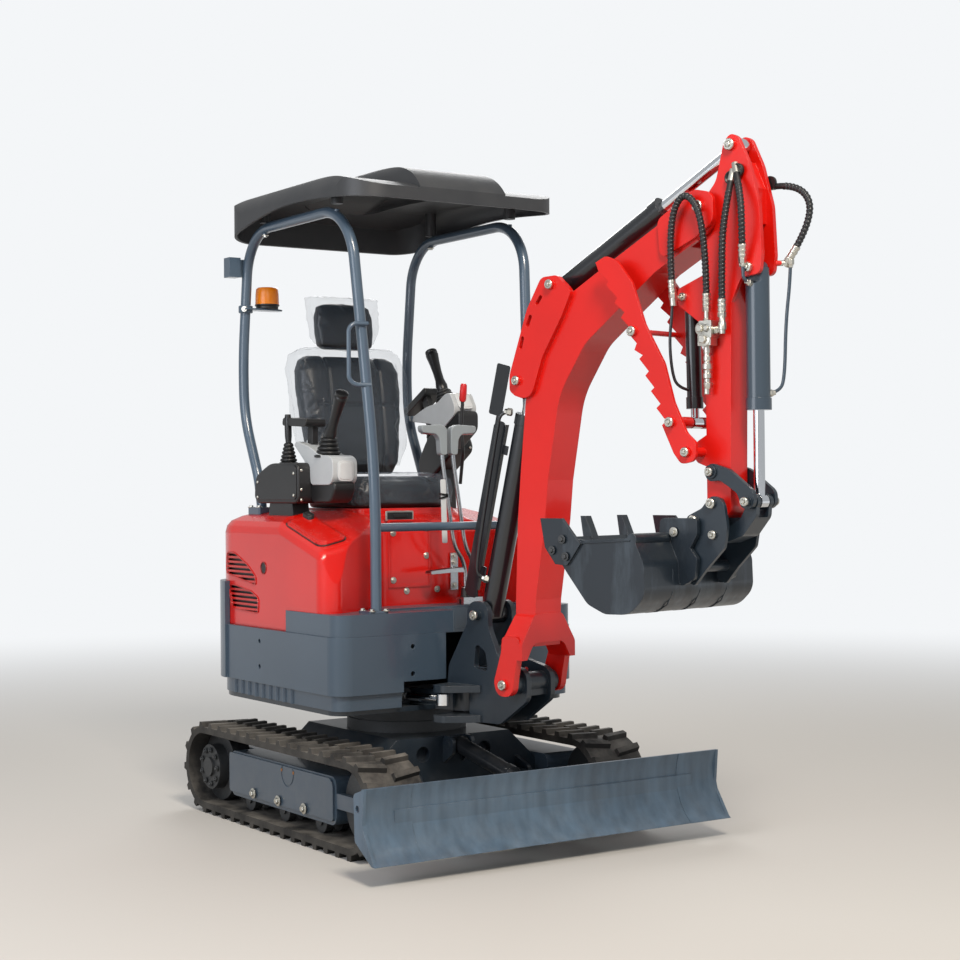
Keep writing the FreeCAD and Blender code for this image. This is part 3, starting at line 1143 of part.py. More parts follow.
# Hoses on the stick, each with its own points in the boom plane (s, n, z), and the length of
# the steel fitting that it is pressed on at each end.
HOSE_R = 9.0
FITTING_R = 10.0
HOSES = {
    "hose_thumb": [(912, -80, 1700), (905, -92, 1890), (975, -106, 1995), (1046, -98, 1890),
                   (1020, -62, 1655)],
    "hose_valve": [(1104, -56, 2000), (1096, -84, 1890), (1084, -76, 1760), (1074, -62, 1635)],
    "hose_bucket_near": [(1124, -56, 2020), (1158, -84, 1945), (1160, -84, 1860),
                         (1146, -62, 1785)],
    "hose_bucket_far": [(1175, 58, 1990), (1262, 66, 1990), (1300, 70, 1890), (1226, 58, 1785)],
}
FITTINGS = {"hose_thumb": (40, 8), "hose_valve": (36, 8), "hose_bucket_near": (36, 30),
            "hose_bucket_far": (34, 30)}


def fittings():
    """Steel ends of the hoses, with the short arms that hold them on the stick."""
    parts = []
    for name, points in HOSES.items():
        for end, long in zip((0, -1), FITTINGS[name]):
            tip = V(*points[end])
            way = tip - V(*points[1 if end == 0 else -2])
            way.normalize()
            start = tip + way * SEAT
            stop = tip + way * (SEAT + long)
            parts.append(rod(tuple(start), tuple(stop), FITTING_R))
    h = STICK_HALF
    parts.append(across(913, 1684, 8, -h - 46, -h + 8))
    parts.append(across(1146, 1764, 8, -h - 28, -h))
    parts.append(rod((1180, h - 6, 1768), (1218, 56, 1768), 8))
    parts.append(across(1143, 1990, 8, h, h + 22))
    return parts


def place_group(shape):
    """Move a shape from the boom plane to its place on the machine."""
    shape.rotate(V(0, 0, 0), V(0, 0, 1), SWING_REST)
    shape.translate(V(KING_X, 0, 0))
    return shape


def swing_cylinder_end():
    """Place of the swing ear's pin, measured from the slew axis."""
    a = math.radians(SWING_REST)
    s, n = SWING_EAR
    return (KING_X + s * math.cos(a) - n * math.sin(a), s * math.sin(a) + n * math.cos(a))


def swing_cylinder():
    """Barrel and rod of the swing cylinder, lying flat beside the frame."""
    bx, by = SWING_BASE
    ex, ey = swing_cylinder_end()
    way = V(ex - bx, ey - by, 0)
    way.normalize()
    base = V(bx, by, SWING_CYL_Z)
    tube = Part.makeCylinder(26, 345, base, way)
    eye = upright(bx, by, 22, SWING_CYL_Z - 20, SWING_CYL_Z + 20)
    inside = Part.makeCylinder(SWING_ROD_R + 0.4, 345, base + way * 30, way)
    clear = upright(bx, by, 46, SWING_CYL_Z + 20, SWING_CYL_Z + 40)
    under = upright(bx, by, 46, SWING_CYL_Z - 40, SWING_CYL_Z - 20)
    tube = tube.fuse(eye).cut(inside).cut(upright(bx, by, 12 + PIN_GAP, 300, 600))
    tube = tube.cut(clear).cut(under)
    end = V(ex, ey, SWING_CYL_Z)
    bar = Part.makeCylinder(SWING_ROD_R, 250, end, way * -1)
    knuckle = upright(ex, ey, 22, SWING_CYL_Z - 18, SWING_CYL_Z + 18)
    return tube.removeSplitter(), bar.fuse(knuckle).removeSplitter()


def export(shape, name):
    shape.translate(V(SLEW_X, 0, 0))
    shape.exportStep("parts/" + name + ".step")
    box_ = shape.BoundBox
    print(name, "valid", shape.isValid(), "solids", len(shape.Solids),
          "x", round(box_.XMin), round(box_.XMax), "y", round(box_.YMin), round(box_.YMax),
          "z", round(box_.ZMin), round(box_.ZMax), "litres", round(shape.Volume / 1e6, 2))
    return box_


def main():
    os.makedirs("parts", exist_ok=True)
    pieces = []
    for sign, name in ((1, "left"), (-1, "right")):
        pieces.append(("track_" + name, track(sign)))
        pieces.append(("side_frame_" + name, side_frame(sign)))
        pieces.append(("wheels_" + name, wheels(sign)))
        pieces.append(("console_" + name, console(sign)))
    pieces.append(("carbody", carbody()))
    pieces.append(("slew_ring", slew_ring()))
    pieces.append(("blade", blade()))
    pieces.append(("blade_arms", blade_arms()))
    pieces.append(("blade_cylinder_barrel", barrel(BLADE_CYL_BASE, BLADE_CYL_END, 320, 27, 15.5,
                                                   24, 14, 26)))
    pieces.append(("blade_cylinder_rod", piston(BLADE_CYL_BASE, BLADE_CYL_END, 250, 15, 22, 24)))
    pieces.append(("deck", deck()))
    pieces.append(("skirt", skirt()))
    pieces.append(("step_floor", step_floor()))
    pieces.append(("hood", hood()))
    pieces.append(("tank_lid", tank_lid()))
    pieces.append(("engine", engine()))
    pieces.append(("seat_cushion", seat_cushion()))
    pieces.append(("seat_back", seat_back()))
    pieces.append(("travel_levers", travel_levers()))
    pieces.append(("canopy_frame", canopy_frame()))
    pieces.append(("roof", roof()))
    pieces.append(("beacon", beacon()))
    tube, bar = swing_cylinder()
    pieces.append(("swing_cylinder_barrel", tube))
    pieces.append(("swing_cylinder_rod", bar))
    group = [
        ("swing_post", swing_post()),
        ("boom", boom()),
        ("boom_cylinder_barrel", barrel(CYL_BASE, BOOM_CYL_END, 660, 36, 20.5, 30, 16, 42)),
        ("boom_cylinder_rod", piston(CYL_BASE, BOOM_CYL_END, 460, 20, 26, 32)),
        ("stick", stick()),
        ("arm_cylinder_barrel", barrel(ARM_CYL_BASE, ARM_CYL_END, 430, 33, 18.5, 26, 15, 29)),
        ("arm_cylinder_rod", piston(ARM_CYL_BASE, ARM_CYL_END, 380, 18, 24, 21)),
        ("rocker", rocker()),
        ("bucket_link", bucket_link()),
        ("coupler", coupler()),
        ("bucket", bucket()),
        ("bucket_cylinder_barrel", barrel(BUCKET_CYL_BASE, LINK_PIN, 402, 34, 16.5, 22, 14, 21)),
        ("bucket_cylinder_rod", piston(BUCKET_CYL_BASE, LINK_PIN, 340, 16, 22, 17)),
        ("thumb", thumb()),
        ("thumb_cylinder_barrel", barrel(THUMB_CYL_BASE, THUMB_CYL_END, 325, 22, 12.5, 18, 12,
                                         21)),
        ("thumb_cylinder_rod", piston(THUMB_CYL_BASE, THUMB_CYL_END, 200, 12, 17, 21)),
    ]
    for name, points in HOSES.items():
        group.append((name, bent(points, HOSE_R, name)))
    for name, shape in group:
        pieces.append((name, place_group(shape)))
    total = FreeCAD.BoundBox()
    for name, shape in pieces:
        total.add(export(shape, name))
    print("whole", total)


if __name__ == "__main__":
    main()
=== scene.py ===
# %% [markdown]
# # Mini excavator with a canopy, a swing boom and a thumb
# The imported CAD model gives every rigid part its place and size. This lesson dresses it: each
# surface gets a finish that says what it is made of, and the small or soft things that a CAD
# solid can't show (bolts, louvres, bellows, the wrapped seat, hoses) are modelled as meshes.
# Everything is in metres in the CAD's own frame, so a piece goes where the CAD says.

# %% Load the frame
import math

import bmesh
import bpy
from mathutils import Matrix, Vector


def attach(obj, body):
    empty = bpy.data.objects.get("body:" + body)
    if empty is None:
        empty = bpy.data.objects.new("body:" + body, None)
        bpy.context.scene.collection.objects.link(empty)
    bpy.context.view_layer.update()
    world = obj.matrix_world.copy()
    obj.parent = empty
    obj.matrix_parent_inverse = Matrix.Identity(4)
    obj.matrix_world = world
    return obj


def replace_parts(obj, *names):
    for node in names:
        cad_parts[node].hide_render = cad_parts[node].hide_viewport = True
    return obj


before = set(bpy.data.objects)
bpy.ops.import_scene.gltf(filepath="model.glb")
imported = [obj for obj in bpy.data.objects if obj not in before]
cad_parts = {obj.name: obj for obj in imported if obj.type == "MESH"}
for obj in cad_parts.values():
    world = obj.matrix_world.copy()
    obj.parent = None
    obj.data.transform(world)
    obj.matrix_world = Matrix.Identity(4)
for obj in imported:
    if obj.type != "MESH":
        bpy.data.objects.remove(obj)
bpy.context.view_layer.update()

# %% [markdown]
# ## Two frames of reference
# The upper structure is measured from the slew axis, and the boom group is drawn in its own
# plane, which is swung 12.5 degrees to the left. Two small functions turn those measures into
# places in the scene, so that the numbers below can be read against the CAD source.

# %% Places on the machine
SLEW_X = -0.4595
KING_X = 0.393
SWING = math.radians(12.5)
ALONG = Vector((math.cos(SWING), math.sin(SWING), 0))
LEFT = Vector((-math.sin(SWING), math.cos(SWING), 0))
UP = Vector((0, 0, 1))


def deck(x, y, z):
    """A place measured from the slew axis, in metres."""
    return Vector((SLEW_X + x, y, z))


def arm(s, n, z):
    """A place in the boom's plane: s forward from the king pin, n to the left, z up."""
    return Vector((SLEW_X + KING_X, 0, 0)) + ALONG * s + LEFT * n + UP * z


def placed(name, data):
    """A new object in the scene."""
    thing = bpy.data.objects.new(name, data)
    bpy.context.scene.collection.objects.link(thing)
    return thing


def put(thing, **values):
    """Set several attributes of a thing."""
    for key, value in values.items():
        setattr(thing, key, value)


print("stick pin at", [round(v, 3) for v in arm(1.004, 0, 1.939)])

# %% [markdown]
# ## Camera
# The camera's place, direction and focal length were worked out from straight edges of the
# tracks, blade, skirt and canopy. A roll of half a degree is kept, because the picture has it.

# %% Camera
CAMERA_PLACE = Vector((4.9086, -3.2717, 1.1479))
CAMERA_YAW = math.radians(146.27)
CAMERA_PITCH = math.radians(0.13)
CAMERA_ROLL = math.radians(-0.43)
FOCAL_MM = 68.2
SENSOR_MM = 36

ahead = Vector((math.cos(CAMERA_YAW) * math.cos(CAMERA_PITCH),
                math.sin(CAMERA_YAW) * math.cos(CAMERA_PITCH), math.sin(CAMERA_PITCH)))
level = Vector((math.sin(CAMERA_YAW), -math.cos(CAMERA_YAW), 0))
right = level * math.cos(CAMERA_ROLL) + level.cross(ahead) * math.sin(CAMERA_ROLL)
upward = right.cross(ahead)
camera_data = bpy.data.cameras.new("camera")
put(camera_data, sensor_width=SENSOR_MM, lens=FOCAL_MM)
camera = placed("camera", camera_data)
camera.matrix_world = Matrix((right, upward, -ahead)).transposed().to_4x4()
camera.location = CAMERA_PLACE
bpy.context.scene.camera = camera
print("camera", [round(v, 3) for v in camera.location])

# %% [markdown]
# ## Colour and nodes
# Colours are written as the sRGB hex values a paint chart would give, and one function turns
# them to the linear values that the renderer works in. One more function adds a shader node,
# sets its values and links its inputs, which keeps each material readable as a short list.

# %% Colour and node helpers


def linear(code):
    """Linear RGBA of an sRGB hex colour such as 'D8121A'."""
    values = [int(code[i:i + 2], 16) / 255 for i in (0, 2, 4)]
    curve = [v / 12.92 if v <= 0.04045 else ((v + 0.055) / 1.055) ** 2.4 for v in values]
    return (*curve, 1.0)


def add(tree, kind, settings=None, links=None):
    """Add a node; a setting is an input's name or number, or an attribute of the node."""
    node = tree.nodes.new(kind)
    for key, value in (settings or {}).items():
        if isinstance(key, int) or key in node.inputs:
            node.inputs[key].default_value = value
        else:
            setattr(node, key, value)
    for key, source in (links or {}).items():
        tree.links.new(source, node.inputs[key])
    return node


def blank(name):
    """A new material with an empty tree, and its output node."""
    material = bpy.data.materials.new(name)
    material.use_nodes = True
    tree = material.node_tree
    tree.nodes.clear()
    return material, tree, tree.nodes.new("ShaderNodeOutputMaterial")


def ramp(tree, value, start, end, low=0.0, high=1.0):
    """Map a value that runs from start to end onto low to high, clamped."""
    limits = {"From Min": start, "From Max": end, "To Min": low, "To Max": high}
    return add(tree, "ShaderNodeMapRange", limits, {"Value": value}).outputs[0]


def maths(tree, operation, *values):
    """A Math node whose inputs are numbers or sockets."""
    numbers = {i: v for i, v in enumerate(values) if isinstance(v, float)}
    sockets = {i: v for i, v in enumerate(values) if i not in numbers}
    return add(tree, "ShaderNodeMath", {"operation": operation, **numbers}, sockets).outputs[0]


def speckle(tree, vector, scale, detail, **more):
    """Noise with so many cells per metre."""
    return add(tree, "ShaderNodeTexNoise", {"Scale": scale, "Detail": detail, **more},
               {"Vector": vector}).outputs["Fac"]


def stretched(tree, vector, scale):
    """The vector scaled along its three axes."""
    return add(tree, "ShaderNodeMapping", {"Scale": scale}, {0: vector}).outputs[0]


def upward_share(tree, vector):
    """The z value of a vector."""
    return add(tree, "ShaderNodeSeparateXYZ", {}, {0: vector}).outputs["Z"]


def toward(tree, share, first, code):
    """Mix a colour socket towards a hex colour."""
    return add(tree, "ShaderNodeMix", {"data_type": "RGBA", 7: linear(code)},
               {0: share, 6: first}).outputs[2]


def raised(tree, height, strength, depth, normal=None):
    """Bump from a height in so many metres of depth."""
    links = {"Height": height, "Normal": normal} if normal else {"Height": height}
    return add(tree, "ShaderNodeBump", {"Strength": strength, "Distance": depth}, links).outputs[0]


def surface(tree, output, settings, links):
    """A Principled shader joined to the material's output."""
    shader = add(tree, "ShaderNodeBsdfPrincipled", settings, links)
    tree.links.new(shader.outputs[0], output.inputs[0])


print("enamel red in linear light", [round(v, 3) for v in linear("D8121A")[:3]])

# %% [markdown]
# ## Enamel paint
# The sheet metal is sprayed with a two-pack enamel: a gloss coat with a faint orange peel of
# 2 to 3 mm, thinner over edges, and road dust that settles on upward faces and low down. The
# Bevel node rounds the look of the CAD's sharp edges to the 2 mm radius that pressed sheet
# has, and where it differs from the true normal there is an edge, so the same node tells the
# paint where to be rubbed lighter.

# %% Enamel material
EDGE_RADIUS = 0.0022
PEEL_SIZE = 0.0026
DUST = "A39D93"


def enamel(name, colour, worn, roughness=0.28, dust=0.25, coat=0.5, peel=0.035,
           radius=EDGE_RADIUS, streak=1.0, tones=(0.90, 1.08), grain=2.2):
    """Sprayed enamel; worn shows where an edge is rubbed, streak draws clouds out along z."""
    material, tree, output = blank(name)
    place = add(tree, "ShaderNodeTexCoord").outputs["Object"]
    normal = add(tree, "ShaderNodeNewGeometry").outputs["Normal"]
    edge = add(tree, "ShaderNodeBevel", {"samples": 4, "Radius": radius}).outputs[0]
    turn = add(tree, "ShaderNodeVectorMath", {"operation": "DOT_PRODUCT"}, {0: edge, 1: normal})
    rubbed = ramp(tree, turn.outputs["Value"], 0.985, 0.90)
    chips = ramp(tree, speckle(tree, place, 60.0, 5.0), 0.52, 0.66)
    wear = maths(tree, "MULTIPLY", maths(tree, "MULTIPLY", rubbed, chips), 0.45)
    drawn = stretched(tree, place, (1, 1, 1 / streak))
    tone = ramp(tree, speckle(tree, drawn, grain, 4.0), 0.3, 0.7, *tones)
    shaded = add(tree, "ShaderNodeHueSaturation", {"Color": linear(colour)}, {"Value": tone})
    facing_up = ramp(tree, upward_share(tree, normal), 0.3, 1.0)
    low = ramp(tree, upward_share(tree, place), 0.55, 0.0, high=0.6)
    grit = ramp(tree, speckle(tree, place, 14.0, 8.0, Roughness=0.65), 0.38, 0.72)
    settled = maths(tree, "MULTIPLY", maths(tree, "MAXIMUM", facing_up, low), grit)
    dust_share = maths(tree, "MULTIPLY", settled, float(dust))
    paint = toward(tree, dust_share, toward(tree, wear, shaded.outputs[0], worn), DUST)
    bump = raised(tree, speckle(tree, place, 1 / PEEL_SIZE, 1.0), peel, 0.0006, edge)
    surface(tree, output, {"IOR": 1.5, "Coat Weight": coat, "Coat Roughness": 0.08},
            {"Base Color": paint, "Roughness": ramp(tree, dust_share, 0, 1, roughness, 0.75),
             "Normal": bump})
    return material


signal_red = enamel("signal_red_enamel", "D01207", "E8553C", roughness=0.30, dust=0.06, coat=0.2)
hood_red = enamel("hood_red_enamel", "D01207", "D01207", roughness=0.26, dust=0.06, coat=0.3,
                  radius=0.012)
slate_blue = enamel("slate_blue_enamel", "3D4D5C", "7D8A94", roughness=0.34, dust=0.18, coat=0.3)
blade_blue = enamel("faded_blade_enamel", "4A5D6E", "8E9AA4", roughness=0.42, dust=0.15, coat=0.1,
                    streak=9.0, tones=(0.80, 1.25), grain=26.0)
# Ink blue is the links' own near-black paint; on the carbody and blade arms it is also painted
# shade.
ink_blue_and_shade = enamel("ink_blue_and_shade_enamel", "1D2832", "5C6872", roughness=0.36, dust=0.14, coat=0.3)
cylinder_blue = enamel("cylinder_enamel", "34424F", "66737E", roughness=0.32, dust=0.08)
black_enamel = enamel("black_cylinder_enamel", "15191E", "4A525A", roughness=0.28, dust=0.08)
tube_blue = enamel("canopy_tube_enamel", "465869", "8592A0", roughness=0.30, dust=0.10)
print("enamels", [m.name for m in bpy.data.materials if m.name.endswith("enamel")])

# %% [markdown]
# ## Bare metals
# The piston rods are ground steel with hard chrome: almost a mirror, with very fine rings left
# by the grinding belt. Bolts and hose fittings are zinc plated, which is duller and slightly
# yellow. Castings such as the rollers and the slew ring are rough and dark.

# %% Metal materials


def metal(name, colour, roughness, grain, bump_share, stretch=(1, 1, 1)):
    """Bare or plated metal with a grain of the given size in metres."""
    material, tree, output = blank(name)
    place = add(tree, "ShaderNodeTexCoord").outputs["Object"]
    marks = speckle(tree, stretched(tree, place, stretch), 1 / grain, 4.0)
    edge = add(tree, "ShaderNodeBevel", {"samples": 4, "Radius": 0.001}).outputs[0]
    surface(tree, output, {"Base Color": linear(colour), "Metallic": 1.0},
            {"Roughness": ramp(tree, marks, 0, 1, roughness * 0.7, roughness * 1.4),
             "Normal": raised(tree, marks, bump_share, 0.0003, edge)})
    return material


hard_chrome = metal("hard_chrome_rod", "DFE2E6", 0.09, 0.0012, 0.02, (1, 1, 6))
zinc = metal("zinc_plated_steel", "C9C7BE", 0.32, 0.004, 0.10)
cast_iron = metal("cast_iron_grimy", "5A5C5E", 0.55, 0.003, 0.45)
stainless = metal("satin_steel", "B9BDC1", 0.25, 0.0015, 0.05)
copper = metal("copper_plug", "A8774F", 0.38, 0.002, 0.10)
print("metals", hard_chrome.name, zinc.name, cast_iron.name, stainless.name)

# %% [markdown]
# ## Two paints that show more than paint
# The stick carries its fittings in one piece with it, so its paint turns to zinc plate where
# they stand, which is a slab of space beside the plates. The bucket has been used once: its
# shell and its tube are rubbed to a shiny dark steel in broad streaks that follow the digging.

# %% Paints with metal in them
KING = Vector((SLEW_X + KING_X, 0, 0))
PLATE_FACE = 0.0412  # the stick's plates end this far from its middle
FITTINGS = (1.360, 2.060)  # from the lowest to the highest fitting


def metal_shows(material, share, colour, roughness):
    """Mix a bare metal into a finished paint by a share from 0 to 1."""
    tree = material.node_tree
    output = tree.nodes["Material Output"]
    paint = output.inputs[0].links[0].from_node
    bare = add(tree, "ShaderNodeBsdfPrincipled",
               {"Base Color": linear(colour), "Metallic": 1.0, "Roughness": roughness},
               {"Normal": paint.inputs["Normal"].links[0].from_socket})
    mix = add(tree, "ShaderNodeMixShader", {},
              {0: share, 1: paint.outputs[0], 2: bare.outputs[0]})
    tree.links.new(mix.outputs[0], output.inputs[0])


def between_limits(tree, value, low, high):
    """1 where a value lies between two limits, else 0."""
    return maths(tree, "MULTIPLY", maths(tree, "GREATER_THAN", value, low),
                 maths(tree, "LESS_THAN", value, high))


stick_red = enamel("stick_red_enamel", "D01207", "E8553C", roughness=0.30, dust=0.06, coat=0.2)
tree = stick_red.node_tree
place = add(tree, "ShaderNodeTexCoord").outputs["Object"]
apart = add(tree, "ShaderNodeVectorMath", {"operation": "SUBTRACT", 1: KING}, {0: place})
aside = add(tree, "ShaderNodeVectorMath", {"operation": "DOT_PRODUCT", 1: LEFT},
            {0: apart.outputs[0]})
distance = add(tree, "ShaderNodeMath", {"operation": "ABSOLUTE"}, {0: aside.outputs["Value"]})
share = maths(tree, "MULTIPLY", between_limits(tree, distance.outputs[0], PLATE_FACE, 1.0),
              between_limits(tree, upward_share(tree, place), *FITTINGS))
metal_shows(stick_red, share, "C9C7BE", 0.34)

scuffed_ink = enamel("scuffed_bucket_enamel", "1B242D", "6A747C", roughness=0.34, dust=0.12,
                     coat=0.2)
tree = scuffed_ink.node_tree
place = add(tree, "ShaderNodeTexCoord").outputs["Object"]
rubs = speckle(tree, stretched(tree, place, (5.0, 5.0, 1.2)), 2.0, 7.0, Roughness=0.62)
metal_shows(scuffed_ink, ramp(tree, rubs, 0.50, 0.66, high=0.55), "6B747C", 0.30)
print("mixed paints", stick_red.name, scuffed_ink.name)

# %% [markdown]
# ## Rubber and plastics
# The tracks are carbon-black rubber, matt, with pale dust worn into it. The roof, vents and
# consoles are injection moulded, and their tool was etched with a leather-like grain of about
# 1.5 mm: a Voronoi cell pattern used as bump shows it. It is drawn a little coarser than the
# real one so that it still shows at this distance.

# %% Rubber and plastic materials


def moulded(name, colour, roughness, grain=0.0, grain_depth=0.2, dust=0.0, specular=0.5):
    """Moulded rubber or plastic; grain is the size of the etched cells in metres."""
    material, tree, output = blank(name)
    place = add(tree, "ShaderNodeTexCoord").outputs["Object"]
    normal = add(tree, "ShaderNodeNewGeometry").outputs["Normal"]
    cloud = speckle(tree, place, 9.0, 6.0, Roughness=0.6)
    shade = add(tree, "ShaderNodeHueSaturation", {"Color": linear(colour)},
                {"Value": ramp(tree, cloud, 0, 1, 0.85, 1.15)})
    share = maths(tree, "MULTIPLY", ramp(tree, upward_share(tree, normal), -0.4, 1.0),
                  ramp(tree, cloud, 0.35, 0.7, high=dust))
    edge = add(tree, "ShaderNodeBevel", {"samples": 4, "Radius": 0.002}).outputs[0]
    cells = add(tree, "ShaderNodeTexVoronoi", {"Scale": 1 / (grain or 0.004)}, {"Vector": place})
    surface(tree, output, {"IOR": 1.5, "Roughness": roughness, "Specular IOR Level": specular},
            {"Base Color": toward(tree, share, shade.outputs[0], DUST),
             "Normal": raised(tree, cells.outputs["Distance"], grain_depth if grain else 0.05,
                              0.0004, edge)})
    return material


track_rubber = moulded("track_rubber", "2B2A29", 0.72, 0.006, 0.25, dust=0.50, specular=0.3)
hose_rubber = moulded("hose_rubber", "121314", 0.5, 0.0025, 0.3)
wrap_plastic = moulded("spiral_wrap_polyethylene", "26282B", 0.30, 0.002, 0.05)
roof_plastic = moulded("roof_moulding_abs", "313336", 0.44, 0.0035, 0.35, dust=0.06)
black_plastic = moulded("black_abs", "1A1B1D", 0.42, 0.003, 0.25, dust=0.05)
pod_plastic = moulded("pale_grey_abs", "B7BBBD", 0.38, 0.003, 0.12)
red_plastic = moulded("red_grip_plastic", "C5181C", 0.35, 0.0025, 0.10)
vinyl = moulded("black_seat_vinyl", "1E1F22", 0.36, 0.0028, 0.35)
print("mouldings", track_rubber.name, roof_plastic.name, vinyl.name)

# %% [markdown]
# ## Amber lens
# The beacon is tinted polycarbonate. It lets light through and scatters some of it, so a
# little transmission with a deep orange colour reads as a lens rather than as painted plastic.
# A faint amber emission is a painted glow for the light scattered inside the lens.

# %% Amber lens material
amber, tree, output = blank("amber_polycarbonate")
place = add(tree, "ShaderNodeTexCoord").outputs["Object"]
rings = add(tree, "ShaderNodeTexWave", {"bands_direction": "Z", "Scale": 55.0}, {"Vector": place})
# The faint amber emission is a painted glow: the lens is not lit.
surface(tree, output,
        {"Base Color": linear("F08A12"), "Roughness": 0.18, "IOR": 1.58,
         "Transmission Weight": 0.25, "Emission Color": linear("F07A10"),
         "Emission Strength": 0.08},
        {"Normal": raised(tree, rings.outputs["Fac"], 0.4, 0.001)})
print("lens", amber.name)

# %% [markdown]
# ## Finishes for the CAD parts
# A CAD part whose shape is right stays as it is and only changes material, in its own slot.

# %% Dress the CAD parts
FINISHES = {
    signal_red: ("boom", "thumb"),
    hood_red: ("hood", "tank_lid"),
    stick_red: ("stick",),
    slate_blue: ("side_frame_left", "side_frame_right", "skirt", "step_floor"),
    blade_blue: ("blade",),
    scuffed_ink: ("bucket",),
    tube_blue: ("canopy_frame",),
    # Carbody and blade arms get ink blue as painted shade: they stand in shade below the upper
    # deck.
    ink_blue_and_shade: ("deck", "swing_post", "rocker", "bucket_link", "coupler", "carbody",
               "blade_arms"),
    cylinder_blue: ("bucket_cylinder_barrel",),
    black_enamel: ("blade_cylinder_barrel", "swing_cylinder_barrel", "boom_cylinder_barrel",
                   "arm_cylinder_barrel", "thumb_cylinder_barrel"),
    hard_chrome: ("blade_cylinder_rod", "swing_cylinder_rod", "boom_cylinder_rod",
                  "arm_cylinder_rod", "bucket_cylinder_rod", "thumb_cylinder_rod"),
    cast_iron: ("wheels_left", "wheels_right", "slew_ring", "engine"),
    track_rubber: ("track_left", "track_right"),
    roof_plastic: ("roof",),
    black_plastic: ("console_left", "console_right"),
    vinyl: ("seat_cushion", "seat_back"),
    stainless: ("travel_levers",),
    amber: ("beacon",),
    hose_rubber: ("hose_thumb", "hose_valve", "hose_bucket_near", "hose_bucket_far"),
}
for material, names in FINISHES.items():
    for name in names:
        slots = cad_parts[name].data.materials
        slots.clear()
        slots.append(material)
print("CAD parts dressed", sum(len(v) for v in FINISHES.values()))

# %% [markdown]
# ## Floor, backdrop light and lamps
# A pale floor and a white world seen by the camera and by reflections, with soft light: the
# world gives an even level, and one large lamp from the front right, where the sun stands in
# the picture, gives the shapes a lighter and a darker side. Far from the machine the floor
# fades into the backdrop's own white for the camera, so that no horizon shows.

# %% Stage and lamps
FLOOR_REACH = 60
FLOOR_GAP = 0.0005  # keeps the floor's face clear of the track's
FADE_START = 2.4
FADE_END = 9.0

floor_material, tree, output = blank("pale_studio_floor")
shader = add(tree, "ShaderNodeBsdfPrincipled", {"Base Color": linear("C3C0BB"),
                                                "Roughness": 0.9, "Specular IOR Level": 0.2})
place = add(tree, "ShaderNodeTexCoord")
far = add(tree, "ShaderNodeVectorMath", {"operation": "LENGTH"}, {0: place.outputs["Object"]})
faded = add(tree, "ShaderNodeMapRange",
            {"From Min": FADE_START, "From Max": FADE_END, "interpolation_type": "SMOOTHSTEP"},
            {"Value": far.outputs["Value"]})
path = add(tree, "ShaderNodeLightPath")
unlit = maths(tree, "MAXIMUM", path.outputs["Is Camera Ray"], path.outputs["Is Glossy Ray"])
share = maths(tree, "MULTIPLY", faded.outputs[0], unlit)
white = add(tree, "ShaderNodeEmission", {"Color": linear("F4F6F8"), "Strength": 1.0})
mix = add(tree, "ShaderNodeMixShader", {},
          {0: share, 1: shader.outputs[0], 2: white.outputs[0]})
tree.links.new(mix.outputs[0], output.inputs[0])
bm = bmesh.new()
for x, y in ((-1, -1), (1, -1), (1, 1), (-1, 1)):
    bm.verts.new((x * FLOOR_REACH, y * FLOOR_REACH, -FLOOR_GAP))
bm.faces.new(bm.verts)
floor_mesh = bpy.data.meshes.new("studio_floor")
bm.to_mesh(floor_mesh)
bm.free()
floor_mesh.materials.append(floor_material)
placed("studio_floor", floor_mesh)

world = bpy.data.worlds.new("soft_white")
bpy.context.scene.world = world
world.use_nodes = True
tree = world.node_tree
tree.nodes.clear()
path = add(tree, "ShaderNodeLightPath")
clear = maths(tree, "MAXIMUM", path.outputs["Is Camera Ray"], path.outputs["Is Transmission Ray"])
bright = add(tree, "ShaderNodeMix", {2: 0.55, 3: 1.0}, {0: clear})
light = add(tree, "ShaderNodeBackground", {"Color": linear("F4F6F8")},
            {"Strength": bright.outputs[0]})
add(tree, "ShaderNodeOutputWorld", {}, {0: light.outputs[0]})


def lamp(name, place, aim, size, power, colour):
    """A square soft lamp that looks at a point."""
    data = bpy.data.lights.new(name, "AREA")
    put(data, size=size, energy=power, color=linear(colour)[:3])
    look = Vector(aim) - Vector(place)
    put(placed(name, data), location=place,
        rotation_euler=look.to_track_quat("-Z", "Y").to_euler())


lamp("key_lamp", (4.2, -1.6, 5.4), (0.1, 0, 0.9), 1.5, 330, "FFF4E6")
lamp("fill_lamp", (1.0, -5.0, 2.6), (0, 0, 1.0), 3.0, 110, "F2F6FF")
lamp("rim_lamp", (-4.0, 2.5, 4.0), (0, 0, 1.2), 2.5, 90, "FFFFFF")
bpy.context.scene.view_settings.view_transform = "Standard"
print("lamps", len(bpy.data.lights))

# %% [markdown]
# ## Turned and bent shapes
# Bolts, pins, bellows and lamps are turned on a lathe or moulded round, so one helper spins a
# profile about any axis: six steps make a hexagon, many make a round. A second one turns an
# outline into a plate or a moulded box, and a Bevel modifier rounds its edges.

# %% Shape helpers


def join_rings(bm, rings, capped=False):
    """Faces between each ring of points and the next, and over the ends if capped."""
    for a, b in zip(rings, rings[1:]):
        for i in range(len(a)):
            j = (i + 1) % len(a)
            bm.faces.new((a[i], a[j], b[j], b[i]))
    if capped:
        bm.faces.new(list(reversed(rings[0])))
        bm.faces.new(rings[-1])


def turned(bm, base, axis, profile, steps=24):
    """Spin (distance along, radius) pairs about an axis from base; flat ends are closed."""
    axis = Vector(axis).normalized()
    side = axis.orthogonal().normalized()
    other = axis.cross(side)
    rings = []
    for reach, radius in profile:
        ring = []
        for i in range(steps):
            angle = 2 * math.pi * i / steps
            outward = side * math.cos(angle) + other * math.sin(angle)
            ring.append(bm.verts.new(Vector(base) + axis * reach + outward * radius))
        rings.append(ring)
    join_rings(bm, rings, capped=True)


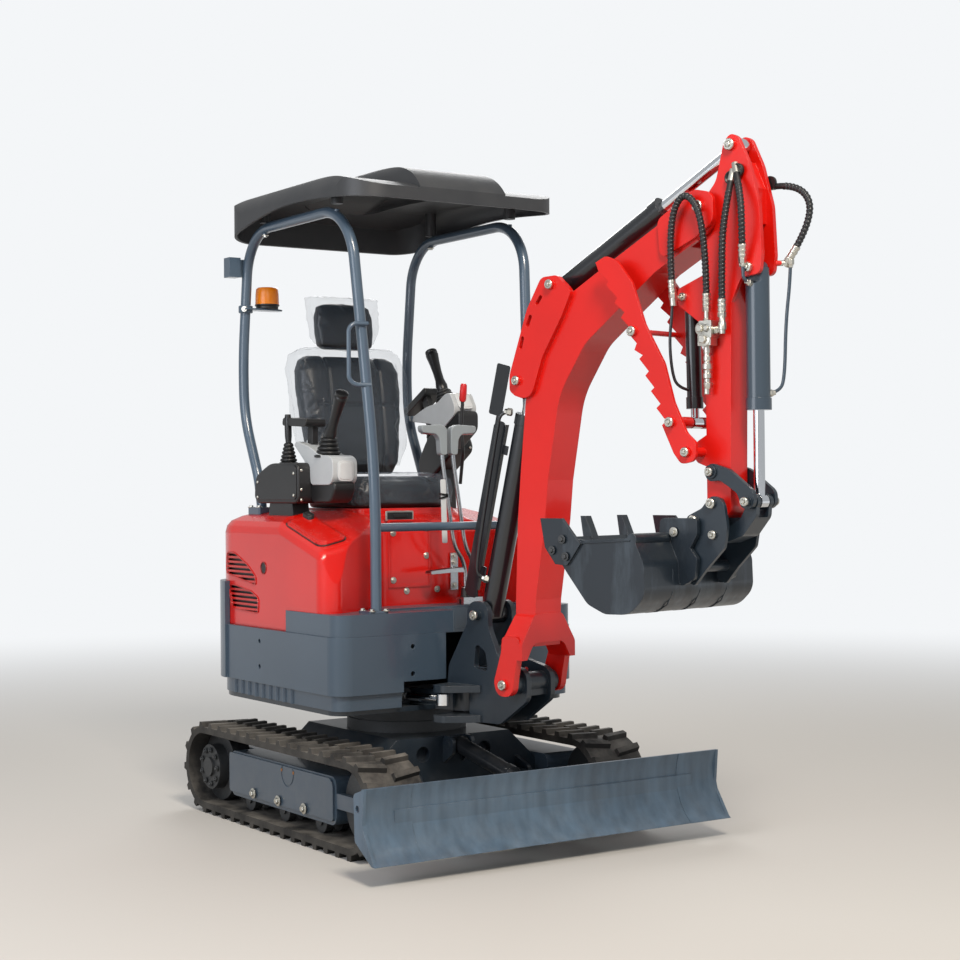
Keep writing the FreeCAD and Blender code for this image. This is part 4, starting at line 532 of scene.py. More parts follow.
def slab(bm, outline, thickness, place):
    """Push an outline of 2-D points out by a thickness; place turns (a, b, depth) to a point."""
    join_rings(bm, [[bm.verts.new(place(a, b, depth)) for a, b in outline]
                    for depth in (0, thickness)], capped=True)


def rounded(outline, radius, steps=4):
    """Round the corners of a 2-D outline."""
    result = []
    count = len(outline)
    for i, corner in enumerate(outline):
        here = Vector(corner)
        back = Vector(outline[i - 1]) - here
        on = Vector(outline[(i + 1) % count]) - here
        reach = min(radius, back.length * 0.45, on.length * 0.45)
        a = here + back.normalized() * reach
        b = here + on.normalized() * reach
        for k in range(steps + 1):
            t = k / steps
            result.append(tuple(a * (1 - t) ** 2 + here * 2 * t * (1 - t) + b * t ** 2))
    return result


def oblong(a0, a1, b0, b1, grow=0.0):
    """Corners of a rectangle, grown on every side."""
    return [(a0 - grow, b0 - grow), (a1 + grow, b0 - grow), (a1 + grow, b1 + grow),
            (a0 - grow, b1 + grow)]


def front_plate(bm, x, outline, radius, thickness):
    """A plate that faces forward at x from the slew axis, its outline in y and z."""
    slab(bm, rounded(outline, radius) if radius else outline, thickness,
         lambda a, b, d: deck(x + d, a, b))


def frame_of(bm, inner, outer, depth, place):
    """A flat frame between two outlines with the same number of points."""
    rings = []
    for points, d in ((inner, 0), (inner, depth), (outer, depth), (outer, 0)):
        rings.append([bm.verts.new(place(a, b, d)) for a, b in points])
    join_rings(bm, rings + rings[:1])


def piece(name, bm, material, body, slot, bevel=0.0, sharp=35, steps=3):
    """Make an object of the mesh, round its edges and let it ride on a CAD body."""
    bmesh.ops.recalc_face_normals(bm, faces=bm.faces)
    mesh = bpy.data.meshes.new(name)
    bm.to_mesh(mesh)
    bm.free()
    mesh.materials.append(material)
    mesh.shade_smooth()
    mesh.set_sharp_from_angle(angle=math.radians(sharp))
    thing = placed(name, mesh)
    if bevel:
        put(thing.modifiers.new("rounding", "BEVEL"), width=bevel, segments=steps,
            limit_method="ANGLE", angle_limit=math.radians(30), harden_normals=True)
    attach(thing, body)
    print(name, len(mesh.polygons), "faces")
    return thing


# %% [markdown]
# ## Hydraulic hoses on the stick
# A hydraulic hose is a stiff rubber tube with steel braid, and every one ends in a crimped
# fitting. Its line is one smooth curve: a NURBS spline over a few points is close to how a
# stiff hose bends between its two ends. The points are the same as in the CAD source. Against
# rubbing each hose is wound with a spiral plastic band, whose turns follow the hose's own line.

# %% Hoses
HOSE_D = 0.018
HOSES = {
    "hose_thumb": [(0.912, -0.080, 1.700), (0.905, -0.092, 1.890), (0.975, -0.106, 1.995),
                   (1.046, -0.098, 1.890), (1.020, -0.062, 1.655)],
    "hose_valve": [(1.104, -0.056, 2.000), (1.096, -0.084, 1.890), (1.084, -0.076, 1.760),
                   (1.074, -0.062, 1.635)],
    "hose_bucket_near": [(1.124, -0.056, 2.020), (1.158, -0.084, 1.945),
                         (1.160, -0.084, 1.860), (1.146, -0.062, 1.785)],
    "hose_bucket_far": [(1.175, 0.058, 1.990), (1.262, 0.066, 1.990), (1.300, 0.070, 1.890),
                        (1.226, 0.058, 1.785)],
}


def smooth_line(name, points, radius):
    """A NURBS curve with round section over the points; order and ends are set last."""
    data = bpy.data.curves.new(name, "CURVE")
    put(data, dimensions="3D", bevel_depth=radius, bevel_resolution=5, resolution_u=24,
        use_fill_caps=True)
    spline = data.splines.new("NURBS")
    spline.points.add(len(points) - 1)
    for point, place in zip(spline.points, points):
        point.co = (*place, 1)
    put(spline, order_u=3, use_endpoint_u=True)
    return placed(name, data)


def centre_line(thing):
    """Points along a curve's own centre line, and its length."""
    plain = thing.data.copy()
    plain.bevel_depth = 0
    probe = bpy.data.objects.new("probe", plain)
    mesh = bpy.data.meshes.new_from_object(probe)
    line = [v.co.copy() for v in mesh.vertices]
    bpy.data.objects.remove(probe)
    bpy.data.meshes.remove(mesh)
    return line, sum((b - a).length for a, b in zip(line, line[1:]))


WRAP_PITCH = 0.0115
WRAP_WIDTH = 0.0074
WRAP_STEPS = 16  # to a turn
BARE_END = 0.030


def spiral_wrap(bm, line, radius):
    """A band wound round a line of points, as the plastic guard on a hose is."""
    tangent = (line[1] - line[0]).normalized()
    outward = tangent.orthogonal().normalized()
    frames = []
    reach = 0.0
    for i, point in enumerate(line):
        ahead_point = line[min(i + 1, len(line) - 1)]
        tangent = (ahead_point - line[max(i - 1, 0)]).normalized()
        outward = (outward - tangent * outward.dot(tangent)).normalized()
        if i:
            reach += (point - line[i - 1]).length
        frames.append((reach, point, tangent, outward.copy()))
    total = frames[-1][0]

    def spot(distance, angle, radius_here):
        distance = min(max(distance, 0), total)
        k = 0
        while k < len(frames) - 2 and frames[k + 1][0] < distance:
            k += 1
        r0, p0, t0, o0 = frames[k]
        r1, p1, _, o1 = frames[k + 1]
        share = (distance - r0) / max(r1 - r0, 1e-6)
        out = o0.lerp(o1, share)
        side = t0.cross(out)
        return p0.lerp(p1, share) + (out * math.cos(angle) + side * math.sin(angle)) * radius_here

    steps = int(total / WRAP_PITCH * WRAP_STEPS)
    before = None
    for i in range(steps + 1):
        s = BARE_END + (total - 2 * BARE_END) * i / steps
        angle = 2 * math.pi * s / WRAP_PITCH
        row = [bm.verts.new(spot(s + WRAP_WIDTH * o, angle, radius + r))
               for o, r in ((-0.5, -0.0004), (-0.32, 0.0014), (0.32, 0.0014), (0.5, -0.0004))]
        if before:
            for k in range(3):
                bm.faces.new((before[k], before[k + 1], row[k + 1], row[k]))
        before = row


def crimp(bm, end, outward):
    """Crimped ferrule over a hose's end, with the union nut beyond it."""
    turned(bm, end, outward,
           [(-0.036, 0.0098), (-0.034, 0.0118), (-0.028, 0.0122), (-0.027, 0.0108),
            (-0.021, 0.0108), (-0.020, 0.0122), (-0.014, 0.0122), (-0.013, 0.0108),
            (-0.007, 0.0108), (-0.006, 0.0118), (0.000, 0.0118), (0.002, 0.0088),
            (0.006, 0.0088)], 20)
    turned(bm, Vector(end) + outward.normalized() * 0.003, outward,
           [(0, 0.0110), (0.002, 0.0122), (0.013, 0.0122), (0.015, 0.0110)], 6)


for name, route in HOSES.items():
    points = [arm(*p) for p in route]
    short = name.replace("hose_", "")
    hose = smooth_line(short + "_hose", points, HOSE_D / 2)
    hose.data.materials.append(hose_rubber)
    line, length = centre_line(hose)
    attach(hose, "stick")
    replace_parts(hose, name)
    bm = bmesh.new()
    spiral_wrap(bm, line, HOSE_D / 2)
    guard = piece(short + "_spiral_wrap", bm, wrap_plastic, "stick", "hose_rubber", sharp=70)
    bm = bmesh.new()
    if name == "hose_thumb":
        crimp(bm, points[0], points[0] - points[1])
    crimp(bm, points[-1], points[-1] - points[-2])
    ends = piece(short + "_fittings", bm, zinc, "stick", "grey_metal")
    print(hose.name, "length", round(length, 3))

# %% [markdown]
# ## Bolts and pins
# Plates are held by zinc-plated hex bolts on washers. A pin through a boss shows its end: a
# chamfered disc with a retaining bolt in the middle. Each row of a table is a place and the
# width of the hexagon or the radius of the pin; most stand on both sides of the boom's plane.

# %% Bolt heads


def hex_bolt(bm, base, axis, across):
    """Washer and hexagon head, chamfered as a forged one is."""
    washer = across * 0.95
    height = across * 0.42
    turned(bm, base, axis, [(-0.001, washer * 0.98), (0.0014, washer), (0.002, washer * 0.93)], 20)
    top = Vector(base) + Vector(axis).normalized() * 0.002
    turned(bm, top, axis, [(0, across * 0.57), (height * 0.8, across * 0.57),
                           (height, across * 0.48)], 6)


def pin_end(bm, base, axis, radius):
    """Chamfered pin face with a sunk middle and its retaining screw."""
    turned(bm, base, axis, [(-0.002, radius), (0.005, radius), (0.0075, radius * 0.86),
                            (0.0075, radius * 0.62), (0.0055, radius * 0.56)], 28)
    turned(bm, Vector(base) + Vector(axis).normalized() * 0.0055, axis,
           [(0, radius * 0.46), (0.005, radius * 0.46), (0.0062, radius * 0.36)], 6)


def hardware(name, body, slot, rows, material=zinc, make=hex_bolt):
    """Bolts or pin ends at rows of (place, direction, size), as one piece."""
    bm = bmesh.new()
    for row in rows:
        make(bm, *row)
    return piece(name, bm, material, body, slot, sharp=30)


def both_sides(rows):
    """Rows of (s, n, z, size) in the boom's plane, on its right and on its left side."""
    return [(arm(s, sign * n, z), LEFT * sign, size) for sign in (-1, 1) for s, n, z, size in rows]


PINS = {  # piece: body, slot, then rows of s, n, z and radius
    "boom_pins": ("boom", "red_paint", [(0.273, 0.131, 0.520, 0.016), (0.296, 0.084, 1.471, 0.015),
                                        (0.438, 0.084, 1.761, 0.015),
                                        (1.004, 0.080, 1.939, 0.017)]),
    "stick_pins": ("stick", "red_paint", [(1.093, 0.047, 2.108, 0.017),
                                          (1.153, 0.048, 1.754, 0.014),
                                          (0.922, 0.044, 1.688, 0.012),
                                          (0.985, 0.123, 1.235, 0.014)]),
    "thumb_pins": ("thumb", "red_paint", [(0.930, 0.123, 1.322, 0.015),
                                          (0.793, 0.123, 1.592, 0.015)]),
    "rocker_pins": ("rocker", "dark_paint", [(1.030, 0.070, 1.178, 0.013),
                                             (1.155, 0.074, 1.093, 0.013)]),
    "coupler_pins": ("bucket", "dark_paint", [(1.048, 0.087, 1.088, 0.015),
                                              (1.053, 0.087, 0.999, 0.013),
                                              (0.985, 0.088, 1.040, 0.014),
                                              (0.982, 0.088, 0.905, 0.014)]),
    "post_pins": ("swing_post", "dark_paint", [(0.106, 0.084, 0.728, 0.016)]),
}
for name, (body, slot, rows) in PINS.items():
    hardware(name, body, slot, both_sides(rows), make=pin_end)
hardware("king_pin_cap", "swing_post", "dark_paint", [(arm(0, 0, 0.511), UP, 0.025)],
         make=pin_end)
hardware("bucket_bolts", "bucket", "dark_paint",
         both_sides([(0.930, 0.108, 1.006, 0.015), (0.926, 0.108, 0.916, 0.015)]))
hardware("cutter_bolts", "bucket", "dark_paint",
         both_sides([(0.610, 0.276, 0.952, 0.014), (0.650, 0.276, 0.985, 0.014),
                     (0.662, 0.276, 0.935, 0.014)]), cast_iron)
HUB_X, HUB_Z = -0.509, 0.158
HUB_RADIUS = 0.060
HUB_BOLTS = 9
covers, hubs, canopy = [], [], []
plugs = bmesh.new()
for side in (-1, 1):
    out = (0, side, 0)
    covers += [(deck(x, side * 0.500, 0.108), out, 0.019) for x in (-0.180, 0.0, 0.180)]
    for x in (0.019, 0.101):
        turned(plugs, deck(x, side * 0.494, 0.212), out,
               [(-0.002, 0.0055), (0.0012, 0.0055), (0.0020, 0.0045)], 20)
    for angle in (math.radians(i * 360 / HUB_BOLTS) for i in range(HUB_BOLTS)):
        hubs.append((deck(HUB_X + HUB_RADIUS * math.cos(angle), side * 0.507,
                          HUB_Z + HUB_RADIUS * math.sin(angle)), out, 0.011))
    for dy in (-0.026, 0.026):
        canopy += [(deck(x, side * 0.305 + dy, 0.743), UP, 0.013) for x in (0.276, 0.336)]
        canopy += [(deck(x, side * 0.344 + dy, 1.072), UP, 0.013) for x in (-0.437, -0.375)]
    canopy += [(deck(x, side * 0.344, 2.029), -UP, 0.013) for x in (-0.365, 0.150)]
hardware("roller_cover_bolts", "undercarriage", "cast_steel", covers)
piece("cover_plugs", plugs, copper, "undercarriage", "cast_steel")
hardware("drive_hub_bolts", "undercarriage", "cast_steel", hubs, cast_iron)
hardware("canopy_bolts", "upper", "blue_grey_paint", canopy)

# %% [markdown]
# ## Seat pads
# A seat pad is polyurethane foam under vinyl, so it bulges between its corners and stays flat
# where it rests. The form is stacked from rounded loops, remeshed to an even grid and blown up
# as cloth for 20 frames, with its underside held. How far a point may move is capped, so that
# the pad can't grow into its neighbours.

# %% Pad helpers
CLOTH_FRAMES = 20


def rounded_loop(x0, x1, half_y, corner, count=56):
    """Points of a rounded rectangle seen from above, as a superellipse."""
    loop = []
    power = 2 / (2 + 6 * (1 - corner))
    for i in range(count):
        angle = 2 * math.pi * i / count
        c, s = math.cos(angle), math.sin(angle)
        loop.append(((x0 + x1) / 2 + (x1 - x0) / 2 * math.copysign(abs(c) ** power, c),
                     half_y * math.copysign(abs(s) ** power, s)))
    return loop


def stacked(levels):
    """Closed form over levels of (z, x0, x1, half_y, corner)."""
    bm = bmesh.new()
    rings = []
    for z, x0, x1, half_y, corner in levels:
        loop = rounded_loop(x0, x1, half_y, corner)
        rings.append([bm.verts.new(deck(x, y, z)) for x, y in loop])
    join_rings(bm, rings, capped=True)
    return bm


def swell(thing, voxel, pressure, cap, held):
    """Remesh a form evenly and blow it up as cloth; no point moves further than the cap."""
    put(thing.modifiers.new("even", "REMESH"), mode="VOXEL", voxel_size=voxel)
    graph = bpy.context.evaluated_depsgraph_get()
    mesh = bpy.data.meshes.new_from_object(thing.evaluated_get(graph))
    thing.modifiers.clear()
    old = thing.data
    thing.data = mesh
    bpy.data.meshes.remove(old)
    start = [v.co.copy() for v in mesh.vertices]
    group = thing.vertex_groups.new(name="held")
    group.add([v.index for v in mesh.vertices if held(v.co)], 1.0, "REPLACE")
    cloth = thing.modifiers.new("cloth", "CLOTH")
    put(cloth.settings, quality=6, use_pressure=True, uniform_pressure_force=pressure,
        vertex_group_mass="held")
    cloth.settings.effector_weights.gravity = 0
    put(cloth.point_cache, frame_start=1, frame_end=CLOTH_FRAMES)
    for frame_number in range(1, CLOTH_FRAMES + 1):
        bpy.context.scene.frame_set(frame_number)
    graph = bpy.context.evaluated_depsgraph_get()
    blown = bpy.data.meshes.new_from_object(thing.evaluated_get(graph))
    for vertex, rest in zip(blown.vertices, start):
        move = vertex.co - rest
        if move.length > cap:
            vertex.co = rest + move.normalized() * cap
    thing.modifiers.clear()
    thing.vertex_groups.clear()
    thing.data = blown
    bpy.data.meshes.remove(mesh)
    bpy.context.scene.frame_set(1)


def press_seams(thing, depth, width, distance):
    """Sink sewn channels; distance gives how far a point is from the nearest seam."""
    for vertex in thing.data.vertices:
        near = distance(vertex.co)
        if near < width * 3:
            vertex.co -= vertex.normal * depth * math.exp(-(near / width) ** 2)


# %% [markdown]
# ## Cushion, back and headrest
# The back is narrow at the hips, widest at the shoulders and leans back 9 degrees. Its sewn
# channels run up beside the middle panel; they are pressed in after the remesh, which would
# swallow anything narrower than a voxel.

# %% Seat
VOXEL = 0.006
PRESSURE = 4.0
SEAM_DEPTH = 0.007
SEAM_WIDTH = 0.006


def soft_pad(name, levels, held, cap, seams, stands_for=None):
    pad = piece(name, stacked(levels), vinyl, "upper", "seat_vinyl", sharp=80)
    swell(pad, VOXEL, PRESSURE, cap, held)
    press_seams(pad, SEAM_DEPTH, SEAM_WIDTH, seams)
    pad.data.shade_smooth()
    put(pad.modifiers.new("fine", "SUBSURF"), levels=1, render_levels=1)
    if stands_for:
        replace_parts(pad, stands_for)
    return pad


cushion = soft_pad(
    "seat_cushion_pad",
    [(1.069, -0.385, 0.000, 0.190, 0.45), (1.082, -0.392, 0.010, 0.200, 0.45),
     (1.120, -0.394, 0.014, 0.203, 0.45), (1.150, -0.388, 0.008, 0.198, 0.45),
     (1.166, -0.370, -0.012, 0.178, 0.5)],
    lambda co: co.z < 1.075, 0.012,
    lambda co: min(abs(abs(co.y) - 0.118), abs(co.x - SLEW_X + 0.330)) if co.z > 1.155 else 1,
    "seat_cushion")
BACK = [(1.188, -0.392, -0.318, 0.150, 0.5), (1.230, -0.402, -0.314, 0.180, 0.5),
        (1.300, -0.412, -0.318, 0.197, 0.5), (1.400, -0.426, -0.332, 0.210, 0.5),
        (1.500, -0.440, -0.347, 0.215, 0.5), (1.570, -0.449, -0.361, 0.212, 0.5),
        (1.608, -0.453, -0.374, 0.196, 0.55), (1.625, -0.448, -0.388, 0.166, 0.6)]
backrest = soft_pad(
    "seat_backrest_pad", BACK, lambda co: co.z < 1.196, 0.013,
    lambda co: min(abs(abs(co.y) - 0.105), abs(co.z - 1.44)) if abs(co.y) < 0.16 else 1,
    "seat_back")
headrest = soft_pad(
    "seat_headrest_pad",
    [(1.640, -0.440, -0.392, 0.085, 0.6), (1.652, -0.448, -0.384, 0.108, 0.55),
     (1.700, -0.455, -0.386, 0.114, 0.5), (1.760, -0.461, -0.393, 0.114, 0.5),
     (1.795, -0.462, -0.402, 0.104, 0.55), (1.805, -0.454, -0.412, 0.085, 0.6)],
    lambda co: co.z < 1.645, 0.010, lambda co: 1)
print("pads", [len(p.data.vertices) for p in (cushion, backrest, headrest)])

# %% [markdown]
# ## Wrapping film
# The seat still has its transport wrap: thin clear polyethylene, crumpled, tied at the neck.
# Thin film is nearly invisible face on and shows by its glints and by the milky look of its
# folds, so the material is mostly see-through and gets more opaque along the creases and where
# it is seen edge on: partly the real milkiness of the folds, partly a painted highlight. Its
# blue-grey colour is a painted reflection of the sky. The creases come from ridged noise, which
# has sharp crests with soft valleys, as crumpled film has.

# %% Film material
film, tree, output = blank("clear_polyethylene_film")
place = add(tree, "ShaderNodeTexCoord").outputs["Object"]
crease = speckle(tree, stretched(tree, place, (1.0, 1.0, 0.45)), 26.0, 5.0,
                 noise_type="RIDGED_MULTIFRACTAL", Roughness=0.6, Distortion=0.6)
edge_on = add(tree, "ShaderNodeLayerWeight", {"Blend": 0.35}).outputs["Facing"]
# Opacity along the creases and edge on: partly the folds' real milkiness, partly a painted
# highlight.
haze_and_glint = add(tree, "ShaderNodeMath", {"operation": "ADD", "use_clamp": True},
            {0: ramp(tree, crease, 0.35, 1.25, 0.10, 0.60),
             1: ramp(tree, edge_on, 0, 1, high=0.10)})
# The blue-grey base colour is a painted reflection of the sky, not a tint of the film.
surface(tree, output, {"Base Color": linear("8697A8"), "Roughness": 0.16, "IOR": 1.45},
        {"Alpha": haze_and_glint.outputs[0], "Normal": raised(tree, crease, 0.9, 0.006)})
print("film", film.name)

# %% [markdown]
# ## Film shapes
# Each wrap is an open bag: a grid that runs round the pad and up it, a little outside the pad,
# drawn in where it is tied and flared where it is loose. The same ridged noise moves the grid,
# so that the large folds are real shape and only the finest are bump.

# %% Wraps
from mathutils import noise

RIDGES = (0.9, 2.1, 4, 0.9, 1.8)  # dimension, lacunarity, octaves, offset, gain
RIDGE_TOP = 2.4


def crumple(point, stretch, size):
    """Height of a fold at a point, about 0 to 1; stretch lengthens folds along z."""
    place = Vector((point.x / size, point.y / size, point.z / size / stretch))
    return noise.ridged_multi_fractal(place, *RIDGES) / RIDGE_TOP


def wrap(name, rows, around, depth, stretch, size):
    """Bag from loops of (z, x0, x1, half_y, corner), with folds of a given depth."""
    bm = bmesh.new()
    rings = []
    for z, x0, x1, half_y, corner in rows:
        loop = rounded_loop(x0, x1, half_y, corner, around)
        middle = deck((x0 + x1) / 2, 0, z)
        ring = []
        for x, y in loop:
            point = deck(x, y, z)
            outward = (point - middle).normalized()
            fold = crumple(point, stretch, size) - 0.35
            ring.append(bm.verts.new(point + outward * depth * fold
                                     + UP * depth * 0.5 * crumple(point.yzx, 1, size * 0.7)))
        rings.append(ring)
    join_rings(bm, rings)
    bag = piece(name, bm, film, "upper", "seat_vinyl", sharp=70)
    return bag


def between(levels, count):
    """More levels between the given ones, along straight lines."""
    dense = []
    for i in range(count):
        t = i / (count - 1) * (len(levels) - 1)
        k = min(int(t), len(levels) - 2)
        u = t - k
        dense.append([a + (b - a) * u for a, b in zip(levels[k], levels[k + 1])])
    return dense


wrap("seat_cushion_film",
     between([(1.085, -0.405, 0.022, 0.214, 0.4), (1.125, -0.408, 0.026, 0.218, 0.4),
              (1.165, -0.402, 0.020, 0.212, 0.42), (1.184, -0.372, -0.010, 0.182, 0.45),
              (1.189, -0.30, -0.08, 0.11, 0.5), (1.190, -0.20, -0.18, 0.01, 0.6)], 60),
     220, 0.013, 0.7, 0.045)
wrap("seat_backrest_film",
     between([(1.215, -0.428, -0.294, 0.178, 0.55), (1.290, -0.434, -0.294, 0.206, 0.5),
              (1.390, -0.446, -0.308, 0.222, 0.5), (1.480, -0.456, -0.324, 0.230, 0.5),
              (1.560, -0.466, -0.338, 0.231, 0.5), (1.610, -0.470, -0.349, 0.220, 0.5),
              (1.636, -0.468, -0.362, 0.180, 0.6), (1.641, -0.445, -0.385, 0.075, 0.8)], 90),
     240, 0.026, 3.2, 0.060)
wrap("seat_headrest_film",
     between([(1.643, -0.436, -0.392, 0.060, 0.9), (1.660, -0.460, -0.372, 0.116, 0.6),
              (1.700, -0.472, -0.370, 0.130, 0.5), (1.760, -0.478, -0.378, 0.134, 0.5),
              (1.800, -0.478, -0.386, 0.139, 0.5), (1.822, -0.474, -0.394, 0.142, 0.5),
              (1.827, -0.455, -0.412, 0.120, 0.6), (1.828, -0.436, -0.430, 0.020, 0.8)], 60),
     200, 0.020, 1.6, 0.048)

# %% [markdown]
# ## Arm consoles
# Each console is a moulded black case with a pale pod in front, and every lever comes out of a
# rubber bellows. The cases are outlines pushed out by a thickness with well rounded edges, as
# a mould needs; the bellows and grips are turned. The left console is tipped up to let the
# driver in, so its pieces are made level and turned about the foot of its joystick.

# %% Console helpers
TILT = math.radians(32)


def tipped(place):
    """Turn for the tipped console: about a cross axis through a place."""
    return (Matrix.Translation(place) @ Matrix.Rotation(-TILT, 4, "Y")
            @ Matrix.Translation(-place))


def side_slab(bm, outline, y0, y1, radius=0.012):
    """Outline in x and z from the slew axis, pushed from y0 to y1."""
    slab(bm, rounded(outline, radius), y1 - y0, lambda a, b, d: deck(a, y0 + d, b))


def bellows(bm, base, axis, wide, narrow, height, rings=4):
    """Stacked rubber rings that narrow upward, with a lip at the foot."""
    profile = [(-0.004, wide * 1.10), (0.002, wide * 1.12), (0.005, wide * 1.02)]
    for i in range(rings):
        z = 0.006 + (height - 0.008) * i / rings
        step = (height - 0.008) / rings
        radius = wide + (narrow - wide) * (i + 0.3) / rings
        profile += [(z, radius * 0.84), (z + step * 0.22, radius * 0.97), (z + step * 0.5, radius),
                    (z + step * 0.78, radius * 0.95), (z + step * 0.98, radius * 0.80)]
    profile.append((height, narrow * 0.72))
    turned(bm, base, axis, profile, 36)


def grip(bm, base, axis, length):
    """Tapered joystick: a wide skirt, a waist, a palm swell and a domed cap."""
    shape = [(0.0, 0.013), (0.06, 0.020), (0.16, 0.0215), (0.30, 0.0165), (0.50, 0.0165),
             (0.72, 0.0195), (0.86, 0.0225), (0.90, 0.0235), (0.925, 0.0200), (0.94, 0.0225),
             (0.985, 0.0220), (1.0, 0.0160)]
    turned(bm, base, axis, [(t * length, r) for t, r in shape], 32)


# %% [markdown]
# ## One console
# The two consoles share one recipe, written from the foot of the joystick: a case behind and
# outside, a chin below, the pod with an inset panel, an arm rest behind. Screws sit in the
# corners of the case.

# %% Consoles
def console(side_name, sign, place, reach):
    tip = sign > 0
    x = place.x - SLEW_X
    y, z = place.y, place.z
    tag = "console_" + side_name

    def moulding(suffix, bm, material, slot="black_plastic", **edges):
        thing = piece(tag + suffix, bm, material, "upper", slot, **edges)
        if tip:
            thing.data.transform(tipped(place))
        return thing

    def across(inner, outer):
        return sorted((y - sign * inner, y + sign * outer))

    def outline(points):
        return [(x + a, z + b) for a, b in points]

    bm = bmesh.new()
    side_slab(bm, outline([(-reach, -0.162), (-0.052, -0.162), (-0.052, -0.024),
                           (0.112 - reach, -0.024), (0.010 - reach, -0.062)]),
              *across(0, 0.090), radius=0.028)
    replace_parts(moulding("_case", bm, black_plastic, bevel=0.009, steps=4), tag)
    bm = bmesh.new()
    side_slab(bm, outline([(0.004 - reach, -0.150), (-0.057, -0.150), (-0.057, -0.032),
                           (0.116 - reach, -0.032), (0.016 - reach, -0.068)]),
              *across(-0.090, 0.0935), radius=0.024)
    moulding("_case_lid", bm, black_plastic, bevel=0.003)
    bm = bmesh.new()
    for sx, sz in ((0.030 - reach, -0.088), (-0.074, -0.060), (-0.074, -0.134),
                   (0.030 - reach, -0.140)):
        turned(bm, deck(x + sx, y + sign * 0.0935, z + sz), (0, sign, 0),
               [(-0.001, 0.0055), (0.0015, 0.0055), (0.003, 0.0035)], 16)
    for sz in (-0.050, -0.115, -0.150):
        turned(bm, deck(x - 0.052, y + sign * 0.075, z + sz), (1, 0, 0),
               [(-0.001, 0.0050), (0.0015, 0.0050), (0.0028, 0.0030)], 16)
    moulding("_screws", bm, zinc, "grey_metal")
    bm = bmesh.new()
    side_slab(bm, outline([(-0.058, -0.160), (0.076, -0.160), (0.106, -0.112), (0.102, -0.092),
                           (-0.058, -0.092)]), *across(0.046, 0.038), radius=0.020)
    moulding("_chin", bm, black_plastic, bevel=0.012, steps=4)
    bm = bmesh.new()
    side_slab(bm, outline([(-0.050, -0.100), (0.082, -0.100), (0.104, -0.078), (0.102, -0.016),
                           (0.072, -0.002), (0.012, 0.000), (-0.060, 0.030), (-0.150, 0.050),
                           (-0.168, 0.038), (-0.110, -0.006), (-0.058, -0.046)]),
              *across(0.052, 0.042), radius=0.018)
    moulding("_pod", bm, pod_plastic, "grey_metal", bevel=0.016, steps=5)
    bm = bmesh.new()
    window = oblong(*across(0.036, 0.024), z - 0.088, z - 0.020)
    inset = oblong(*across(0.036, 0.024), z - 0.088, z - 0.020, grow=-0.006)
    front_plate(bm, x + 0.1035, window, 0.016, 0.004)
    front_plate(bm, x + 0.1060, inset, 0.012, 0.003)
    turned(bm, deck(x - 0.128, y, z + 0.048), (-0.25, 0, 1),
           [(-0.004, 0.012), (0.004, 0.012), (0.007, 0.009)], 20)
    moulding("_pod_panel", bm, panel_plastic, "grey_metal", bevel=0.0015)
    bm = bmesh.new()
    small_y = y + sign * 0.045
    bellows(bm, deck(x, y, z - 0.004), (0.05, 0, 1), 0.043, 0.026, 0.064)
    bellows(bm, deck(x - 0.200, small_y, z - 0.026), (0, 0, 1), 0.030, 0.015, 0.072, 5)
    moulding("_bellows", bm, bellows_rubber, sharp=60)
    bm = bmesh.new()
    lean = -0.02 if tip else 0.72
    grip(bm, deck(x + 0.003, y, z + 0.052), (lean, sign * 0.06, 1), 0.190)
    turned(bm, deck(x - 0.200, small_y, z + 0.038), (-0.04, 0, 1),
           [(0, 0.009), (0.03, 0.012), (0.085, 0.0125), (0.105, 0.010)], 24)
    moulding("_grips", bm, grip_rubber, sharp=50)
    bm = bmesh.new()
    side_slab(bm, outline([(-0.236, 0.106), (-0.066, 0.096), (-0.060, 0.122), (-0.230, 0.134)]),
              *across(0.026, 0.052), radius=0.012)
    side_slab(bm, outline([(-0.128, 0.030), (-0.092, 0.020), (-0.088, 0.110), (-0.124, 0.110)]),
              y - 0.012, y + 0.012)
    moulding("_arm_rest", bm, black_plastic, bevel=0.008, steps=4)
    bm = bmesh.new()
    back, front = (-0.160, -0.060) if tip else (-0.290, -0.110)
    top = z - 0.200 if tip else z - 0.150
    side_slab(bm, [(x + back, 1.040), (x + front, 1.040), (x + front - 0.010, top),
                   (x + back + 0.010, top)], *across(-0.012, 0.078))
    piece(tag + "_foot", bm, black_plastic, "upper", "black_plastic", bevel=0.006)


lever_plastic = moulded("lever_grip_abs", "8D9498", 0.36, 0.002, 0.08)
bellows_rubber = moulded("bellows_rubber", "141516", 0.42, 0.002, 0.10)
grip_rubber = moulded("joystick_moulding", "18191B", 0.33, 0.002, 0.06)
panel_plastic = moulded("light_panel_abs", "CDD0D1", 0.30, 0.002, 0.05)
console("right", -1, deck(0.010, -0.305, 1.249), 0.370)
console("left", 1, deck(-0.191, 0.300, 1.436), 0.300)

# %% [markdown]
# ## Safety lever
# A bent black rod with a red grip stands beside the left console. Lifting it cuts the
# hydraulics, so its grip is the one bright spot among the controls.

# %% Safety lever
rod_line = smooth_line("safety_lever_rod",
                       [deck(0.075, 0.180, 1.150), deck(0.095, 0.176, 1.230),
                        deck(0.130, 0.158, 1.262), deck(0.128, 0.150, 1.340),
                        deck(0.140, 0.150, 1.440)], 0.006)
rod_line.data.materials.append(black_plastic)
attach(rod_line, "upper")
bm = bmesh.new()
turned(bm, deck(0.139, 0.150, 1.432), (0.14, 0, 1),
       [(0, 0.009), (0.006, 0.012), (0.030, 0.0125), (0.056, 0.0115), (0.062, 0.008)], 24)
piece("safety_lever_grip", bm, red_plastic, "upper", "black_plastic")

# %% [markdown]
# ## Travel levers
# The two levers are plated rod with grey moulded L grips. Each grip is a sleeve on the rod and
# a flattened handle that turns outward, rounded all over.

